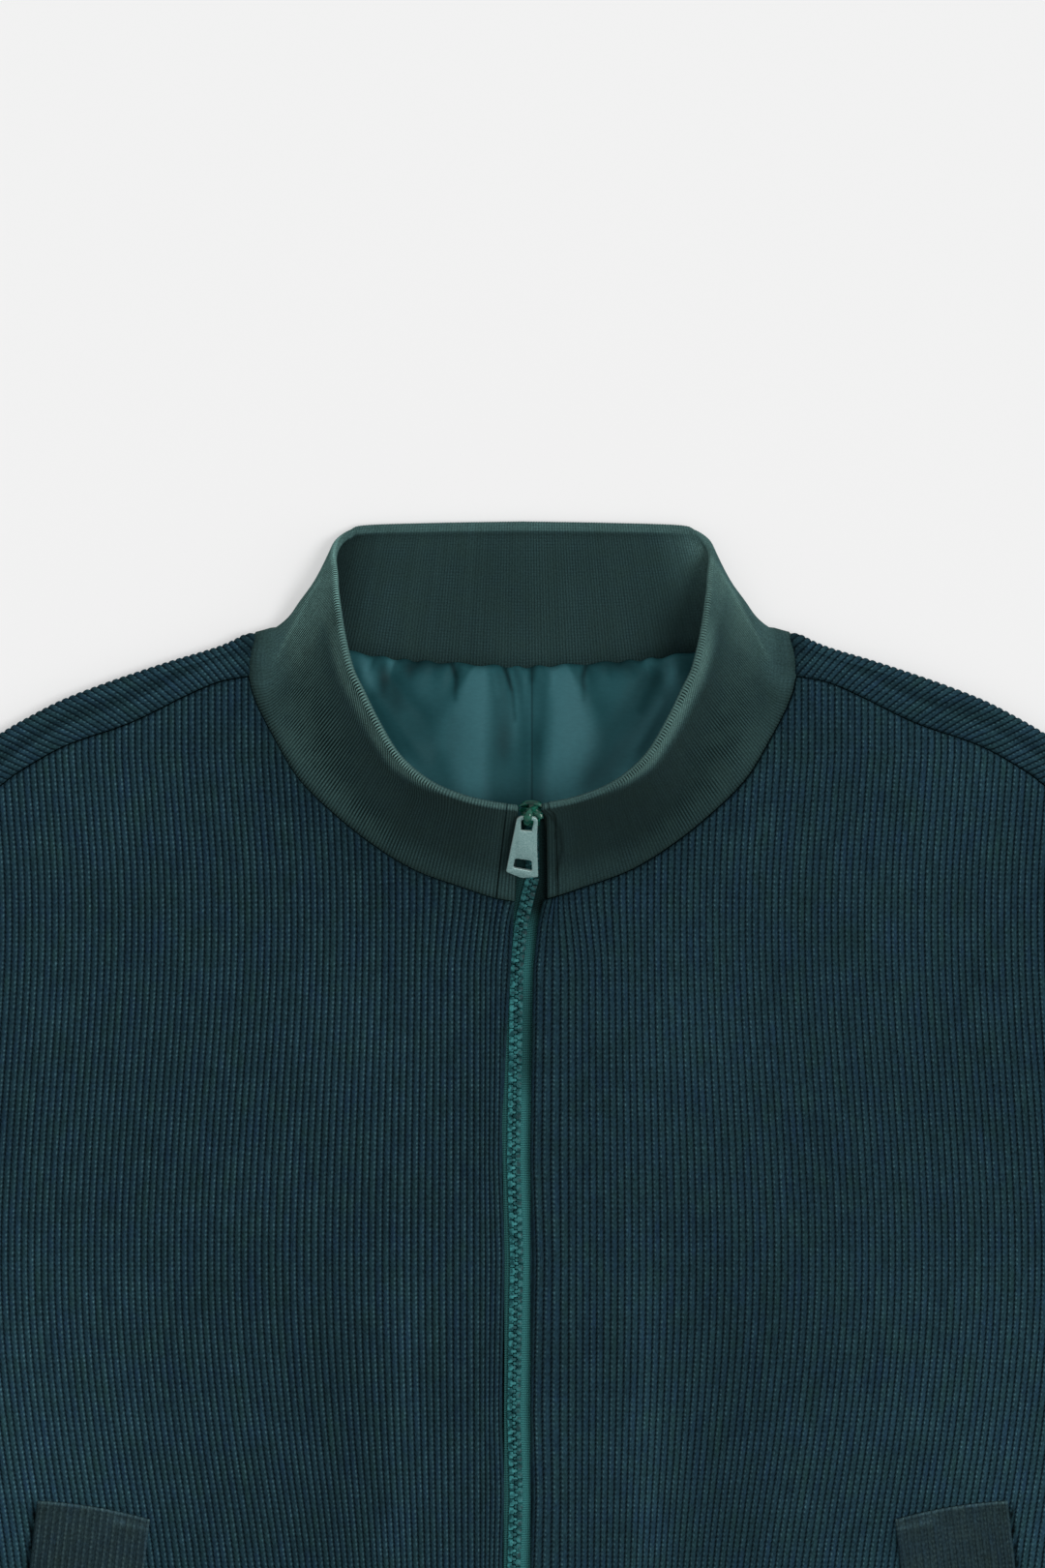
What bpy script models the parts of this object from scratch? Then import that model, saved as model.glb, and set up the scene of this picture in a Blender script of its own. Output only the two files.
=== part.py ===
"""Velvet track jacket, zipped and laid out flat, face up (Blender 4.5).

Every length below is in millimetres and is turned to metres as each mesh is made.
X runs to the right and Z up. "Drop" is the distance down the garment from the high
point of the shoulder, so Y = SHOULDER_Y - drop. Left and right are the viewer's.
"""
import math

import bmesh
import bpy
import numpy as np

MM = 0.001
SEAM = 0.35

# Whole garment
COLLAR_TOP_DROP = -46.8
HEM_DROP = 660.0
SHOULDER_Y = (HEM_DROP + COLLAR_TOP_DROP) / 2
BODY_BOTTOM = 600.0
CHEST_HALF = 285.0
ARMPIT_DROP = 315.0
SHOULDER_X = 241.0
SHOULDER_DROP = 58.9
ARMHOLE_SWEEP = 2.2
SIDE_START = 246.0
BLOUSE = 120.0

# Cloth: one wall lies on the surface, the other lies over it
CLOTH = 2.4
FRONT_UNDER = 5.0
FRONT_OVER = FRONT_UNDER + CLOTH
SIDE_UNDER = 2.7
FOLD_RADIUS = FRONT_OVER / 2
INNER_FOLD = FOLD_RADIUS - CLOTH
RIB_PITCH = 2.8
RIB_HEIGHT = 0.8
RIB_KNIT = 3.4
NECK_LIFT = 3.0
NECK_REACH = 22.0
DRAPE = 0.3
STRIP_LEAN = 11.0

# Hem rib
HEM_HALF = 243.0
HEM_NARROWS = 0.975
HEM_WALL = 2.6

# Zip
CHAIN_WIDTH = 5.7
CHAIN_THICK = 2.6
TAPE_WIDTH = 12.0
TAPE_THICK = 1.0
ZIP_Z = 4.2
ZIP_BELOW_COLLAR = 2.9
ZIP_TOP = 0.735
ZIP_FOOT = 655.0
LEFT_EDGE = 5.0
RIGHT_EDGE = 6.8

# Slider, in its own axes: width, length along the zip, thickness, and its bridge
SLIDER_UP = 0.875
SLIDER_WIDTH = 8.8
SLIDER_LENGTH = 11.5
SLIDER_THICK = 5.6
BRIDGE_WIDTH = 2.6
BRIDGE_REACH = 4.4
BRIDGE_SEAT = 0.8
HINGE_HEIGHT = 5.2
HINGE_ALONG = 0.6

# Pull tab
TAB_LENGTH = 32.5
TAB_THICK = 1.3
TAB_HEAD = 0.75
TAB_TOP = 4.3
TAB_LOW = 6.6
TAB_CORNER = 30.6
TAB_REST_UP = 0.16
TAB_CLEARANCE = 0.45
TAB_TURN = math.radians(-5.5)

# Silhouette of the shoulder fold: distance from the middle, drop
SHOULDER_FOLD = [(113.9, -0.6), (120, 2.8), (128, 6.0), (144, 10.8), (160, 16.0), (176, 21.6),
                 (192, 28.0), (208, 36.4), (216, 41.2), (225, 47.0), (233, 52.7), (241, 58.9)]
# Forward shoulder seam: distance from the middle, drop
SHOULDER_SEAM = [(113.9, 17.8), (125.7, 20.0), (139.5, 25.8), (162.4, 36.9), (189.2, 46.4),
                 (208.4, 57.2), (216, 62.9), (225, 69.0), (233, 74.6), (241, 80.4)]
# Where the collar's lower edge is sewn on, centre front to centre back:
# distance from the middle, drop, height of the middle of its wall
COLLAR_BASE = [(0, 110.8, 9.2), (11.2, 109.0, 9.2), (25, 104.5, 9.2), (44.1, 97.6, 9.2),
               (61.4, 87.2, 9.2), (78.8, 73.3, 9.0), (92.6, 59.4, 8.2), (103, 42.1, 7.0),
               (110.8, 26.4, 6.3), (113.3, 15.0, 6.2), (112.9, 7.0, 6.0), (111.6, 1.6, 5.3),
               (109.8, -0.9, 4.1), (107.2, -0.4, 2.7), (103, 1.6, 1.9), (92, 4.8, 1.7),
               (72, 7.6, 1.7), (52.8, 10.8, 1.7), (32, 12.4, 1.7), (0, 14.3, 1.7)]
# The collar's upper edge, likewise
COLLAR_TOP = [(0, 71.8, 40), (11.1, 70.6, 39.8), (25, 67.4, 39.3), (38.9, 61.2, 38.5),
              (51, 50.8, 37), (59.7, 36.9, 35.5), (66.6, 23, 33.5), (70.4, 15.1, 32),
              (73.2, 4.8, 29.5), (75.2, -5.3, 26), (76.8, -16.8, 21), (77.0, -26, 15.5),
              (77.1, -33, 10.8), (76.6, -38.4, 7.2), (74.6, -42.6, 4.6), (71, -45.4, 2.8),
              (65, -46.6, 1.9), (34, -46.8, 1.7), (0, -46.8, 1.7)]
# Zip, middle of the chain: drop, offset from the middle of the garment
ZIP_LINE = [(70, 3.4), (95, 4.0), (102, 4.0), (108, 2.4), (114, 0.8), (120, -0.5), (138, -2.4),
            (218, -3.7), (258, -2.4), (298, -3.2), (322, -3.6), (356, -2.6), (386, -3.6),
            (660, -3.0)]

# Sleeve: slope of its upper fold, length, width at the cuff and mean width
SLEEVE_SLOPE = math.radians(52)
SLEEVE_LENGTH = 521.0
SLEEVE_END = 100.0
SLEEVE_WIDE = 140.0
SLEEVE_BULGE = 15.0
SLEEVE_DIP = 5.0
SLEEVE_RIBS = 40
CUFF_LENGTH = 62.0
CUFF_WALL = 2.6
CUFF_START = 94.0
CUFF_END = 86.0

# Pocket welt, left one: a leaning strip with its mouth on the outer side
WELT_CORNER = (200.5, 358.5)
WELT_WIDTH = 46.5
WELT_LENGTH = 165.0
WELT_LEAN = 0.115
WELT_TOP_SLOPE = 0.155
WELT_WALL = 1.6

# Collar: where round its length the fold lies, and how far the wall curves in there
FOLD_SHARE = 0.62
COLLAR_WAIST = 5.6
FACING_WALL = 3.0
LEFT_FACING = (3.0, 10.7)
RIGHT_FACING = (10.8, 15.0)

# Back lining
LINING_HALF = 90.0
LINING_UNDER = 2.75
LINING_TOP = 3.7
# Its gathers: place at the seam, height, width
GATHERS = [(-54, 2.0, 6), (-37, 1.4, 5), (-21, 3.2, 8), (-7, 1.2, 5), (9, 2.4, 8), (27, 3.0, 7),
           (43, 1.6, 5), (58, 1.8, 6)]

COLLECTION = "velvet_track_jacket"
CUTTERS = "cutters"
COLOURS = {
    "velvet": ("1A2F36", 0.9, 0.0),
    "rib_knit": ("2E4A49", 0.85, 0.0),
    "lining": ("2A4E53", 0.35, 0.0),
    "zip_tape": ("2C6660", 0.8, 0.0),
    "zip_teeth": ("3B7A74", 0.4, 0.0),
    "slider_paint": ("2A7A66", 0.35, 0.3),
    "tab_metal": ("8CAAAA", 0.35, 0.9),
}


def clear_scene():
    """Take out whatever the open file holds."""
    for item in list(bpy.data.objects):
        bpy.data.objects.remove(item, do_unlink=True)


def linear(hex_code):
    """Turn an sRGB hex colour to linear values."""
    parts = [int(hex_code[k:k + 2], 16) / 255 for k in (0, 2, 4)]
    return [p / 12.92 if p <= 0.04045 else ((p + 0.055) / 1.055) ** 2.4 for p in parts] + [1.0]


def material(name):
    """One Principled material for each finish."""
    if name in bpy.data.materials:
        return bpy.data.materials[name]
    colour, rough, metal = COLOURS[name]
    made = bpy.data.materials.new(name)
    made.use_nodes = True
    shader = made.node_tree.nodes["Principled BSDF"]
    shader.inputs["Base Color"].default_value = linear(colour)
    shader.inputs["Roughness"].default_value = rough
    shader.inputs["Metallic"].default_value = metal
    return made


def spline(rows, count):
    """Smooth curve through the rows, read at even steps of its length."""
    rows = np.array(rows, float)
    ends = np.vstack([2 * rows[0] - rows[1], rows, 2 * rows[-1] - rows[-2]])
    t = np.linspace(0, 1, 24, endpoint=False)[:, None]
    runs = []
    for a, b, c, d in zip(ends[:-3], ends[1:-2], ends[2:-1], ends[3:]):
        runs.append(0.5 * (2 * b + (c - a) * t + (2 * a - 5 * b + 4 * c - d) * t ** 2
                           + (3 * b - a - 3 * c + d) * t ** 3))
    fine = np.vstack(runs + [rows[-1:]])
    way = np.concatenate([[0], np.cumsum(np.linalg.norm(np.diff(fine, axis=0), axis=1))])
    at = np.linspace(0, way[-1], count)
    return np.column_stack([np.interp(at, way, column) for column in fine.T])


def rise(value):
    """Smooth step from 0 at 0 to 1 at 1."""
    value = np.clip(value, 0, 1)
    return value * value * (3 - 2 * value)


FOLD_CURVE = spline(SHOULDER_FOLD, 400)
SEAM_CURVE = spline(SHOULDER_SEAM, 400)
BASE_CURVE = spline(COLLAR_BASE, 900)
TOP_CURVE = spline(COLLAR_TOP, 900)
NECK_FRONT = BASE_CURVE[BASE_CURVE[:, 1] > 15.0]


def fold_drop(x):
    """Drop of the shoulder silhouette at a distance from the middle."""
    return np.interp(x, FOLD_CURVE[:, 0], FOLD_CURVE[:, 1])


def seam_drop(x):
    """Drop of the forward shoulder seam."""
    return np.interp(x, SEAM_CURVE[:, 0], SEAM_CURVE[:, 1])


def beside(curve, gap):
    """The curve moved sideways in plan by a gap, away from the neck."""
    run = np.gradient(curve[:, :2], axis=0)
    run = run / np.linalg.norm(run, axis=1)[:, None]
    return curve[:, :2] + gap * np.column_stack([-run[:, 1], run[:, 0]])


NECK_EDGE = beside(NECK_FRONT, SEAM)


def neck_drop(x):
    """Drop of the upper edge of a front, just clear of the collar."""
    return np.interp(x, NECK_EDGE[:, 0], NECK_EDGE[:, 1])


def back_neck_drop(x):
    """Drop of the back neck seam."""
    back = BASE_CURVE[-420:][::-1]
    back = back[back[:, 2] < 1.95]
    return np.interp(x, back[:, 0], back[:, 1])


def armhole_x(drop):
    """Distance of the armhole from the middle: it sweeps out towards the armpit."""
    way = np.clip((drop - SHOULDER_DROP) / (ARMPIT_DROP - SHOULDER_DROP), 0, 1)
    return SHOULDER_X + (CHEST_HALF - SHOULDER_X) * way ** ARMHOLE_SWEEP


def armhole_drop(x):
    """The same line read the other way."""
    way = np.clip((x - SHOULDER_X) / (CHEST_HALF - SHOULDER_X), 0, 1)
    return SHOULDER_DROP + (ARMPIT_DROP - SHOULDER_DROP) * way ** (1 / ARMHOLE_SWEEP)


def bottom_drop(x):
    """Lower edge of the body: the hem seam, then the side that blouses over it."""
    way = np.clip((x - SIDE_START) / (CHEST_HALF - SIDE_START), 0, 1)
    return BODY_BOTTOM - BLOUSE * (1 - np.sqrt(1 - way ** 2))


def zip_x(drop):
    """Offset of the middle of the zip."""
    rows = np.array(ZIP_LINE)
    return np.interp(drop, rows[:, 0], rows[:, 1])


def neck_lift(x, drop):
    """The front rises a little where the standing collar lifts its edge."""
    seam = NECK_FRONT[::12]
    near = np.sqrt((seam[:, 0] - abs(x)) ** 2 + (seam[:, 1] - drop) ** 2).min()
    return NECK_LIFT * math.exp(-near / NECK_REACH) * (1 - rise((abs(x) - 85) / 25))


def drape(x, drop):
    """Soft lengthwise waves of the cloth, kept shallow at the seams."""
    fade = rise((drop - 120) / 90) * rise((BODY_BOTTOM - drop) / 80) * rise((272 - abs(x)) / 30)
    return DRAPE * fade * (1 + math.sin(abs(x) / 15.0 + 0.5 * math.sin(drop / 90.0)))


def front_under(x, drop):
    """Height of the underside of a front."""
    side = rise((CHEST_HALF - abs(x)) / 11)
    return SIDE_UNDER + (FRONT_UNDER - SIDE_UNDER) * side + neck_lift(x, drop) + drape(x, drop)


def zip_height(drop):
    """Height of the middle of the zip below the neck seam."""
    neck = COLLAR_BASE[0]
    return ZIP_Z + (neck[2] - ZIP_BELOW_COLLAR - ZIP_Z) * math.exp(-(drop - neck[1]) / NECK_REACH)


def place(x, drop, z):
    """From the garment's own measures to a point in metres."""
    return (x * MM, (SHOULDER_Y - drop) * MM, max(z, 0.0) * MM)


def add_mesh(name, verts, faces, finish, smooth=30):
    """Make one closed object and point its faces outwards."""
    mesh = bpy.data.meshes.new(name)
    mesh.from_pydata(verts, [], faces)
    work = bmesh.new()
    work.from_mesh(mesh)
    bmesh.ops.recalc_face_normals(work, faces=work.faces)
    work.to_mesh(mesh)
    work.free()
    mesh.materials.append(material(finish))
    mesh.shade_smooth()
    mesh.set_sharp_from_angle(angle=math.radians(smooth))
    item = bpy.data.objects.new(name, mesh)
    bpy.data.collections[COLLECTION].objects.link(item)
    return item


def loft(name, loops, finish, ring=False):
    """Skin a row of closed loops, each of the same number of points, and cap the ends."""
    size = len(loops[0])
    verts = [point for loop in loops for point in loop]
    faces = []
    for k in range(len(loops) if ring else len(loops) - 1):
        a = k * size
        b = (k + 1) % len(loops) * size
        for j in range(size):
            i = (j + 1) % size
            faces.append((a + j, a + i, b + i, b + j))
    if not ring:
        faces.append(tuple(range(size))[::-1])
        faces.append(tuple(range(len(verts) - size, len(verts))))
    return add_mesh(name, verts, faces, finish)


def build_front(name, side, edge):
    """A front: columns up the cloth, every other one on the crest of a rib."""
    count = int((CHEST_HALF - edge) / (RIB_PITCH / 2))
    loops = []
    for k in range(count + 1):
        start = edge + (CHEST_HALF - edge) * k / count
        crest = RIB_HEIGHT * (k % 2)
        follow = 1 - rise((start - edge) / 45)
        if start < SHOULDER_FOLD[0][0]:
            top = neck_drop(abs(side * start + follow * zip_x(neck_drop(start))))
            top = max(top, seam_drop(start))
        elif start < SHOULDER_X:
            top = seam_drop(start)
        else:
            top = max(armhole_drop(start), seam_drop(SHOULDER_X))
        end = bottom_drop(start)
        drops = [top + (end - top) * (1 - row / 5) ** 1.8 for row in range(6)]
        points = []
        for drop in drops:
            x = side * start + follow * zip_x(drop)
            points.append(place(x, drop, front_under(start, drop) + CLOTH + crest))
        for drop in (drops[5], drops[4], drops[0]):
            x = side * start + follow * zip_x(drop)
            points.append(place(x, drop, front_under(start, drop)))
        loops.append(points)
    return loft(name, loops, "velvet")


def shoulder_stations():
    """Distances of the strip's rib lines from the middle, neck end first."""
    first, last = SHOULDER_FOLD[0][0], SHOULDER_X
    count = 2 * int((last - first) / (RIB_PITCH * 1.08))
    return [first + (last - first) * k / count for k in range(count + 1)]


def strip_point(x, across, z):
    """A point of the strip that wraps over the shoulder: its ribs lean to the neck."""
    first, last = SHOULDER_FOLD[0][0], SHOULDER_X
    way = (x - first) / (last - first)
    lean = STRIP_LEAN * across * rise(way / 0.16) * rise((1 - way) / 0.12)
    at = x - lean
    top = fold_drop(at)
    return place(-at, top + (seam_drop(at) - SEAM - top) * across, z)


def build_back():
    """The back: a flat wall on the surface that wraps over both shoulders."""
    stations = shoulder_stations()
    across = (0, 60, 120, 180, SIDE_START, 256, 266, 274, 280, 284, CHEST_HALF)
    flat = [(x, bottom_drop(x)) for x in across]
    depth = ARMPIT_DROP - SHOULDER_DROP
    drops = [SHOULDER_DROP + depth * (1 - k / 18) ** 0.9 for k in range(18)]
    arm = [(armhole_x(drop), drop) for drop in drops]
    neck = [(x, back_neck_drop(x) + SEAM) for x in (104, 98, 92, 82, 72, 62, 52, 42, 32, 16, 0)]
    before = flat + arm
    outline = before + [(x, None) for x in stations[::-1]] + neck
    verts, low, high, chains = [], [], [], []
    for x, drop in outline:
        ring_low, ring_high = [], []
        if drop is not None:
            ring_low.append(place(-x, drop, 0))
            ring_high.append(place(-x, drop, CLOTH))
        else:
            crest = RIB_HEIGHT * (stations.index(x) % 2)
            centre = fold_drop(x) + FOLD_RADIUS
            ring_low.append(place(-x, centre, 0))
            ring_low.append(place(-x, fold_drop(x), FOLD_RADIUS))
            ring_low.append(strip_point(x, 0.2, FRONT_OVER + crest))
            ring_low.append(strip_point(x, 1.0, FRONT_OVER + crest))
            ring_high.append(place(-x, centre - INNER_FOLD, CLOTH))
            ring_high.append(strip_point(x, 0.13, FRONT_UNDER))
            ring_high.append(strip_point(x, 1.0, FRONT_UNDER))
        low.append(len(verts))
        verts.extend(ring_low)
        high.append(len(verts))
        verts.extend(ring_high)
        chains.append((len(ring_low), len(ring_high)))
    faces = []
    for k in range(len(outline) - 1):
        a, b, c, d = low[k], low[k + 1], high[k], high[k + 1]
        if chains[k][0] == 1 or chains[k + 1][0] == 1:
            faces.append((a, b, d, c))
        else:
            faces += [(a + j, b + j, b + j + 1, a + j + 1) for j in range(3)]
            faces += [(c + j, c + j + 1, d + j + 1, d + j) for j in range(2)]
            faces.append((a + 3, b + 3, d + 2, c + 2))
    for k in (len(before), len(before) + len(stations) - 1):
        a, c = low[k], high[k]
        faces.append((a, a + 1, a + 2, a + 3, c + 2, c + 1, c))
    faces.append(tuple(low))
    faces.append(tuple(high))
    half = add_mesh("back", verts, faces, "velvet")
    mirror = half.modifiers.new("other half", "MIRROR")
    mirror.merge_threshold = 0.00001
    return half


def sleeve_edges():
    """Corners and edges of the flat sleeve: fold edge and underarm edge, in (x, drop)."""
    along = np.array([math.cos(SLEEVE_SLOPE), math.sin(SLEEVE_SLOPE)])
    inward = np.array([-along[1], along[0]])
    shoulder = np.array([SHOULDER_X + SEAM, SHOULDER_DROP])
    armpit = np.array([CHEST_HALF + SEAM * 1.1, ARMPIT_DROP])
    fold_end = shoulder + SLEEVE_LENGTH * along
    under_end = fold_end + SLEEVE_END * inward
    return along, inward, shoulder, armpit, fold_end, under_end


def sleeve_point(across, down):
    """Flat sleeve: across runs from the fold edge to the underarm, down to the cuff."""
    along, inward, shoulder, armpit, fold_end, under_end = sleeve_edges()
    hole_drop = shoulder[1] + (armpit[1] - shoulder[1]) * across
    hole = np.array([armhole_x(hole_drop) + SEAM * (1 + 0.1 * across), hole_drop])
    end = fold_end + (under_end - fold_end) * across
    bulge = SLEEVE_BULGE * down * (1 - down) ** 2 / 0.148
    fold = shoulder + (fold_end - shoulder) * down - inward * bulge
    dip = SLEEVE_DIP * math.sin(math.pi * down)
    under = armpit + (under_end - armpit) * down - inward * dip
    corners = ((1 - across) * ((1 - down) * shoulder + down * fold_end)
               + across * ((1 - down) * armpit + down * under_end))
    return (1 - down) * hole + down * end + (1 - across) * fold + across * under - corners


def tube_station(position, width, over, wall):
    """Across a flattened tube: in from the edge, outer height and inner height.

    position runs 0 to 1 over the top and 1 to 2 back underneath.
    """
    radius = over / 2
    top = position <= 1
    way = position if top else 2 - position
    edge = min(way, 1 - way) * width
    if edge >= radius:
        outer = over if top else 0.0
        inner = over - wall if top else wall
        return outer, inner
    angle = math.acos(1 - edge / radius)
    swing = math.sin(angle) * (1 if top else -1)
    return radius + radius * swing, radius + (radius - wall) * swing


def build_sleeve(name, side):
    """A flattened tube with ribs along its upper side."""
    tops = [k / (2 * SLEEVE_RIBS) for k in range(2 * SLEEVE_RIBS + 1)]
    round_in = [0.004, 0.014]
    top = [0.0] + round_in + tops[2:-2] + [1 - r for r in round_in[::-1]] + [1.0]
    under = [1 + r for r in round_in] + [1 + k / 14 for k in range(1, 14)]
    under += [2 - r for r in round_in[::-1]]
    loops = []
    downs = [0, 0.15, 0.4, 0.7, 1.0]
    for index, position in enumerate(top + under):
        upper = position <= 1
        across = position if upper else 2 - position
        crest = RIB_HEIGHT * (index % 2) if upper and 0.02 < position < 0.98 else 0.0
        outer, inner = tube_station(position, SLEEVE_WIDE, FRONT_OVER, CLOTH)
        near = max(0.0, 1 - min(across, 1 - across) * SLEEVE_WIDE / FOLD_RADIUS) ** 0.7
        pull = CLOTH * near * (1 if across < 0.5 else -1)
        points = []
        for down in downs:
            x, drop = sleeve_point(across, down)
            points.append(place(side * x, drop, outer + crest))
        for down in (1.0, 0.4, 0.0):
            x, drop = sleeve_point(across + pull / SLEEVE_WIDE, down)
            points.append(place(side * x, drop, inner))
        loops.append(points)
    return loft(name, loops, "velvet", ring=True)


def build_cuff(name, side):
    """A flattened tube of rib knit that goes on at the sleeve's end."""
    along, inward, _, _, fold_end, _ = sleeve_edges()
    loops = []
    edge = [0.0, 0.006, 0.02]
    upper = edge + [k / 6 for k in range(1, 6)] + [1 - e for e in edge[::-1]]
    positions = upper + [2 - p for p in upper[1:-1][::-1]]
    for position in positions:
        across = position if position <= 1 else 2 - position
        outer, inner = tube_station(position, CUFF_START, FRONT_OVER, CUFF_WALL)
        near = max(0.0, 1 - min(across, 1 - across) * CUFF_START / FOLD_RADIUS) ** 0.7
        pull = CUFF_WALL * near * (1 if across < 0.5 else -1)
        points = []
        for row, width in ((SEAM, CUFF_START), (CUFF_LENGTH / 2, (CUFF_START + CUFF_END) / 2),
                           (CUFF_LENGTH, CUFF_END)):
            begin = (SLEEVE_END - width) / 2
            spot = fold_end + along * row + inward * (begin + width * across)
            points.append(place(side * spot[0], spot[1], outer))
        for row, width in ((CUFF_LENGTH, CUFF_END), (SEAM, CUFF_START)):
            begin = (SLEEVE_END - width) / 2
            spot = fold_end + along * row + inward * (begin + width * across + pull)
            points.append(place(side * spot[0], spot[1], inner))
        loops.append(points)
    return loft(name, loops, "rib_knit", ring=True)


def build_hem():
    """The hem rib: one band round the body, open at the zip."""
    fold = FOLD_RADIUS - HEM_HALF
    middle = zip_x((BODY_BOTTOM + HEM_DROP) / 2)
    left_end = middle - LEFT_EDGE
    right_end = middle + RIGHT_EDGE
    across = [-60, -120, -180, 12 - HEM_HALF, fold]
    path = [(x, FRONT_OVER, FRONT_UNDER - 0.2, x) for x in [left_end] + across]
    for angle in [math.radians(a) for a in (60, 30, 0, -30, -60)]:
        inner = FOLD_RADIUS - HEM_WALL
        path.append((fold - FOLD_RADIUS * math.cos(angle),
                     FOLD_RADIUS + FOLD_RADIUS * math.sin(angle),
                     FOLD_RADIUS + inner * math.sin(angle),
                     fold - inner * math.cos(angle)))
    path += [(x, 0.0, HEM_WALL, x) for x in across[::-1] + [0.0]]
    mirrored = [(-a, b, c, -d) for a, b, c, d in path[:-1][::-1]]
    mirrored[-1] = (right_end,) + mirrored[-1][1:3] + (right_end,)
    loops = []
    for out_x, outer, inner, in_x in path + mirrored:
        loops.append([place(out_x, BODY_BOTTOM + SEAM, outer),
                      place(out_x * (1 + HEM_NARROWS) / 2, (BODY_BOTTOM + HEM_DROP) / 2, outer),
                      place(out_x * HEM_NARROWS, HEM_DROP, outer),
                      place(in_x * HEM_NARROWS, HEM_DROP, inner),
                      place(in_x, BODY_BOTTOM + SEAM, inner)])
    return loft("hem_rib", loops, "rib_knit")


def on_curve(curve, share):
    """Point of a half curve at a share of its length, centre front 0 to centre back 1."""
    at = share * (len(curve) - 1)
    return np.array([np.interp(at, np.arange(len(curve)), column) for column in curve.T])


def collar_middle(share, up):
    """Middle of the collar's wall: share round the neck, up from 0 at the seam to 1."""
    base = on_curve(BASE_CURVE, share)
    top = on_curve(TOP_CURVE, share)
    front = 1 - rise((share - 0.5) / 0.16)
    reach = front * (1 - (1 - up) ** 1.35) + (1 - front) * up
    height = front * up ** 1.25 + (1 - front) * up
    plan = base[:2] + (top[:2] - base[:2]) * reach
    waist = COLLAR_WAIST * math.exp(-((share - FOLD_SHARE) / 0.10) ** 2)
    waist *= math.sin(math.pi * reach) ** 0.8 if 0 < reach < 1 else 0.0
    plan = plan + waist * np.array([-0.755, 0.653])
    return np.array([plan[0], plan[1], base[2] + (top[2] - base[2]) * height])


def collar_normal(share, up):
    """Outward direction of the collar's wall."""
    step = 0.004
    round_a = collar_middle(max(share - step, 0), up)
    round_b = collar_middle(min(share + step, 1), up)
    low = collar_middle(share, max(up - step, 0))
    high = collar_middle(share, min(up + step, 1))
    if share < step:
        round_a = round_b * np.array([-1, 1, 1])
    across = np.cross(high - low, round_b - round_a)
    return across / np.linalg.norm(across)


def collar_loop(share, side, wall=RIB_KNIT):
    """One upright slice of the collar: outer face, rolled edge, inner face."""
    ups = [0, 0.14, 0.36, 0.6, 0.85, 0.97]
    half = wall / 2
    outer, inner = [], []
    for up in ups:
        spot = collar_middle(share, up)
        out = collar_normal(share, up)
        if up == 0 and share < 0.5:
            out = np.array([0, 0, 1.0])
        thick = half if up < 0.95 else half * 0.7
        outer.append(spot + out * thick)
        inner.append(spot - out * thick)
    crown = collar_middle(share, 1.0)
    slices = outer + [crown] + inner[::-1]
    return [place(side * p[0], p[1], p[2]) for p in slices]


def collar_share(x):
    """Share of the collar's half length at a distance from centre front."""
    step = np.linalg.norm(np.diff(BASE_CURVE, axis=0), axis=1)
    return x / step.sum()


def build_collar():
    """The collar: one band of doubled rib knit, open at the zip."""
    front = list(np.linspace(0, 1, 13)[1:] * 0.54)
    fold = list(np.linspace(0.54, 0.72, 12)[1:])
    back = list(np.linspace(0.72, 1.0, 7)[1:])
    left = [collar_share(LEFT_FACING[1] + 0.4)] + [s for s in front if s > 0.05] + fold + back
    right = [collar_share(RIGHT_FACING[1] + 0.4)] + [s for s in front if s > 0.07] + fold + back[:-1]
    loops = [collar_loop(s, -1) for s in left] + [collar_loop(s, 1) for s in right[::-1]]
    return loft("collar", loops, "rib_knit")


def build_collar_end(name, side, near, far):
    """A narrow facing of rib knit between the collar and the zip."""
    shares = [collar_share(near + (far - near) * k / 3) for k in range(4)]
    loops = [collar_loop(s, side, FACING_WALL) for s in shares]
    return loft(name, loops, "rib_knit")


def lining_gather(x, drop):
    """Height of the soft gathers that fan out from the back neck seam."""
    way = np.clip((drop - 10) / 65, 0, 1)
    total = 0.0
    for at, high, wide in GATHERS:
        spread = at * (1 + 0.25 * way)
        total += high * math.exp(-((x - spread) / (wide * (0.8 + way))) ** 2)
    return total * (1 - rise((drop - 48) / 26)) * (0.55 + 0.45 * rise((drop - 10) / 12))


def build_lining():
    """The satin back lining, only where it shows in the neck."""
    loops = []
    for k in range(45):
        x = LINING_HALF * (k / 22 - 1)
        top = back_neck_drop(abs(x)) + SEAM * 1.3
        low = 97 - 52 * (abs(x) / LINING_HALF) ** 2.6
        drops = [top + (low - top) * w for w in (0, 0.06, 0.22, 0.45, 0.7, 1.0)]
        points = [place(x, d, LINING_TOP + lining_gather(x, d)) for d in drops]
        points += [place(x, d, LINING_UNDER) for d in (drops[-1], drops[0])]
        loops.append(points)
    return loft("back_lining", loops, "lining")


def behind_collar(x, up):
    """Point and outward normal of the zip's layer behind the collar, left or right."""
    share = collar_share(abs(x))
    for _ in range(4):
        share *= abs(x) / max(collar_middle(share, up)[0], 0.01)
    mirror = np.array([math.copysign(1, x), 1, 1])
    out = collar_normal(share, up)
    return (collar_middle(share, up) - out * ZIP_BELOW_COLLAR) * mirror, out * mirror


def zip_frame(up, offset=0.0):
    """The zip in the collar: a point beside its middle, and the outward normal."""
    middle = zip_x(collar_middle(0.0, up)[1])
    return behind_collar(middle + offset, up)


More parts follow.
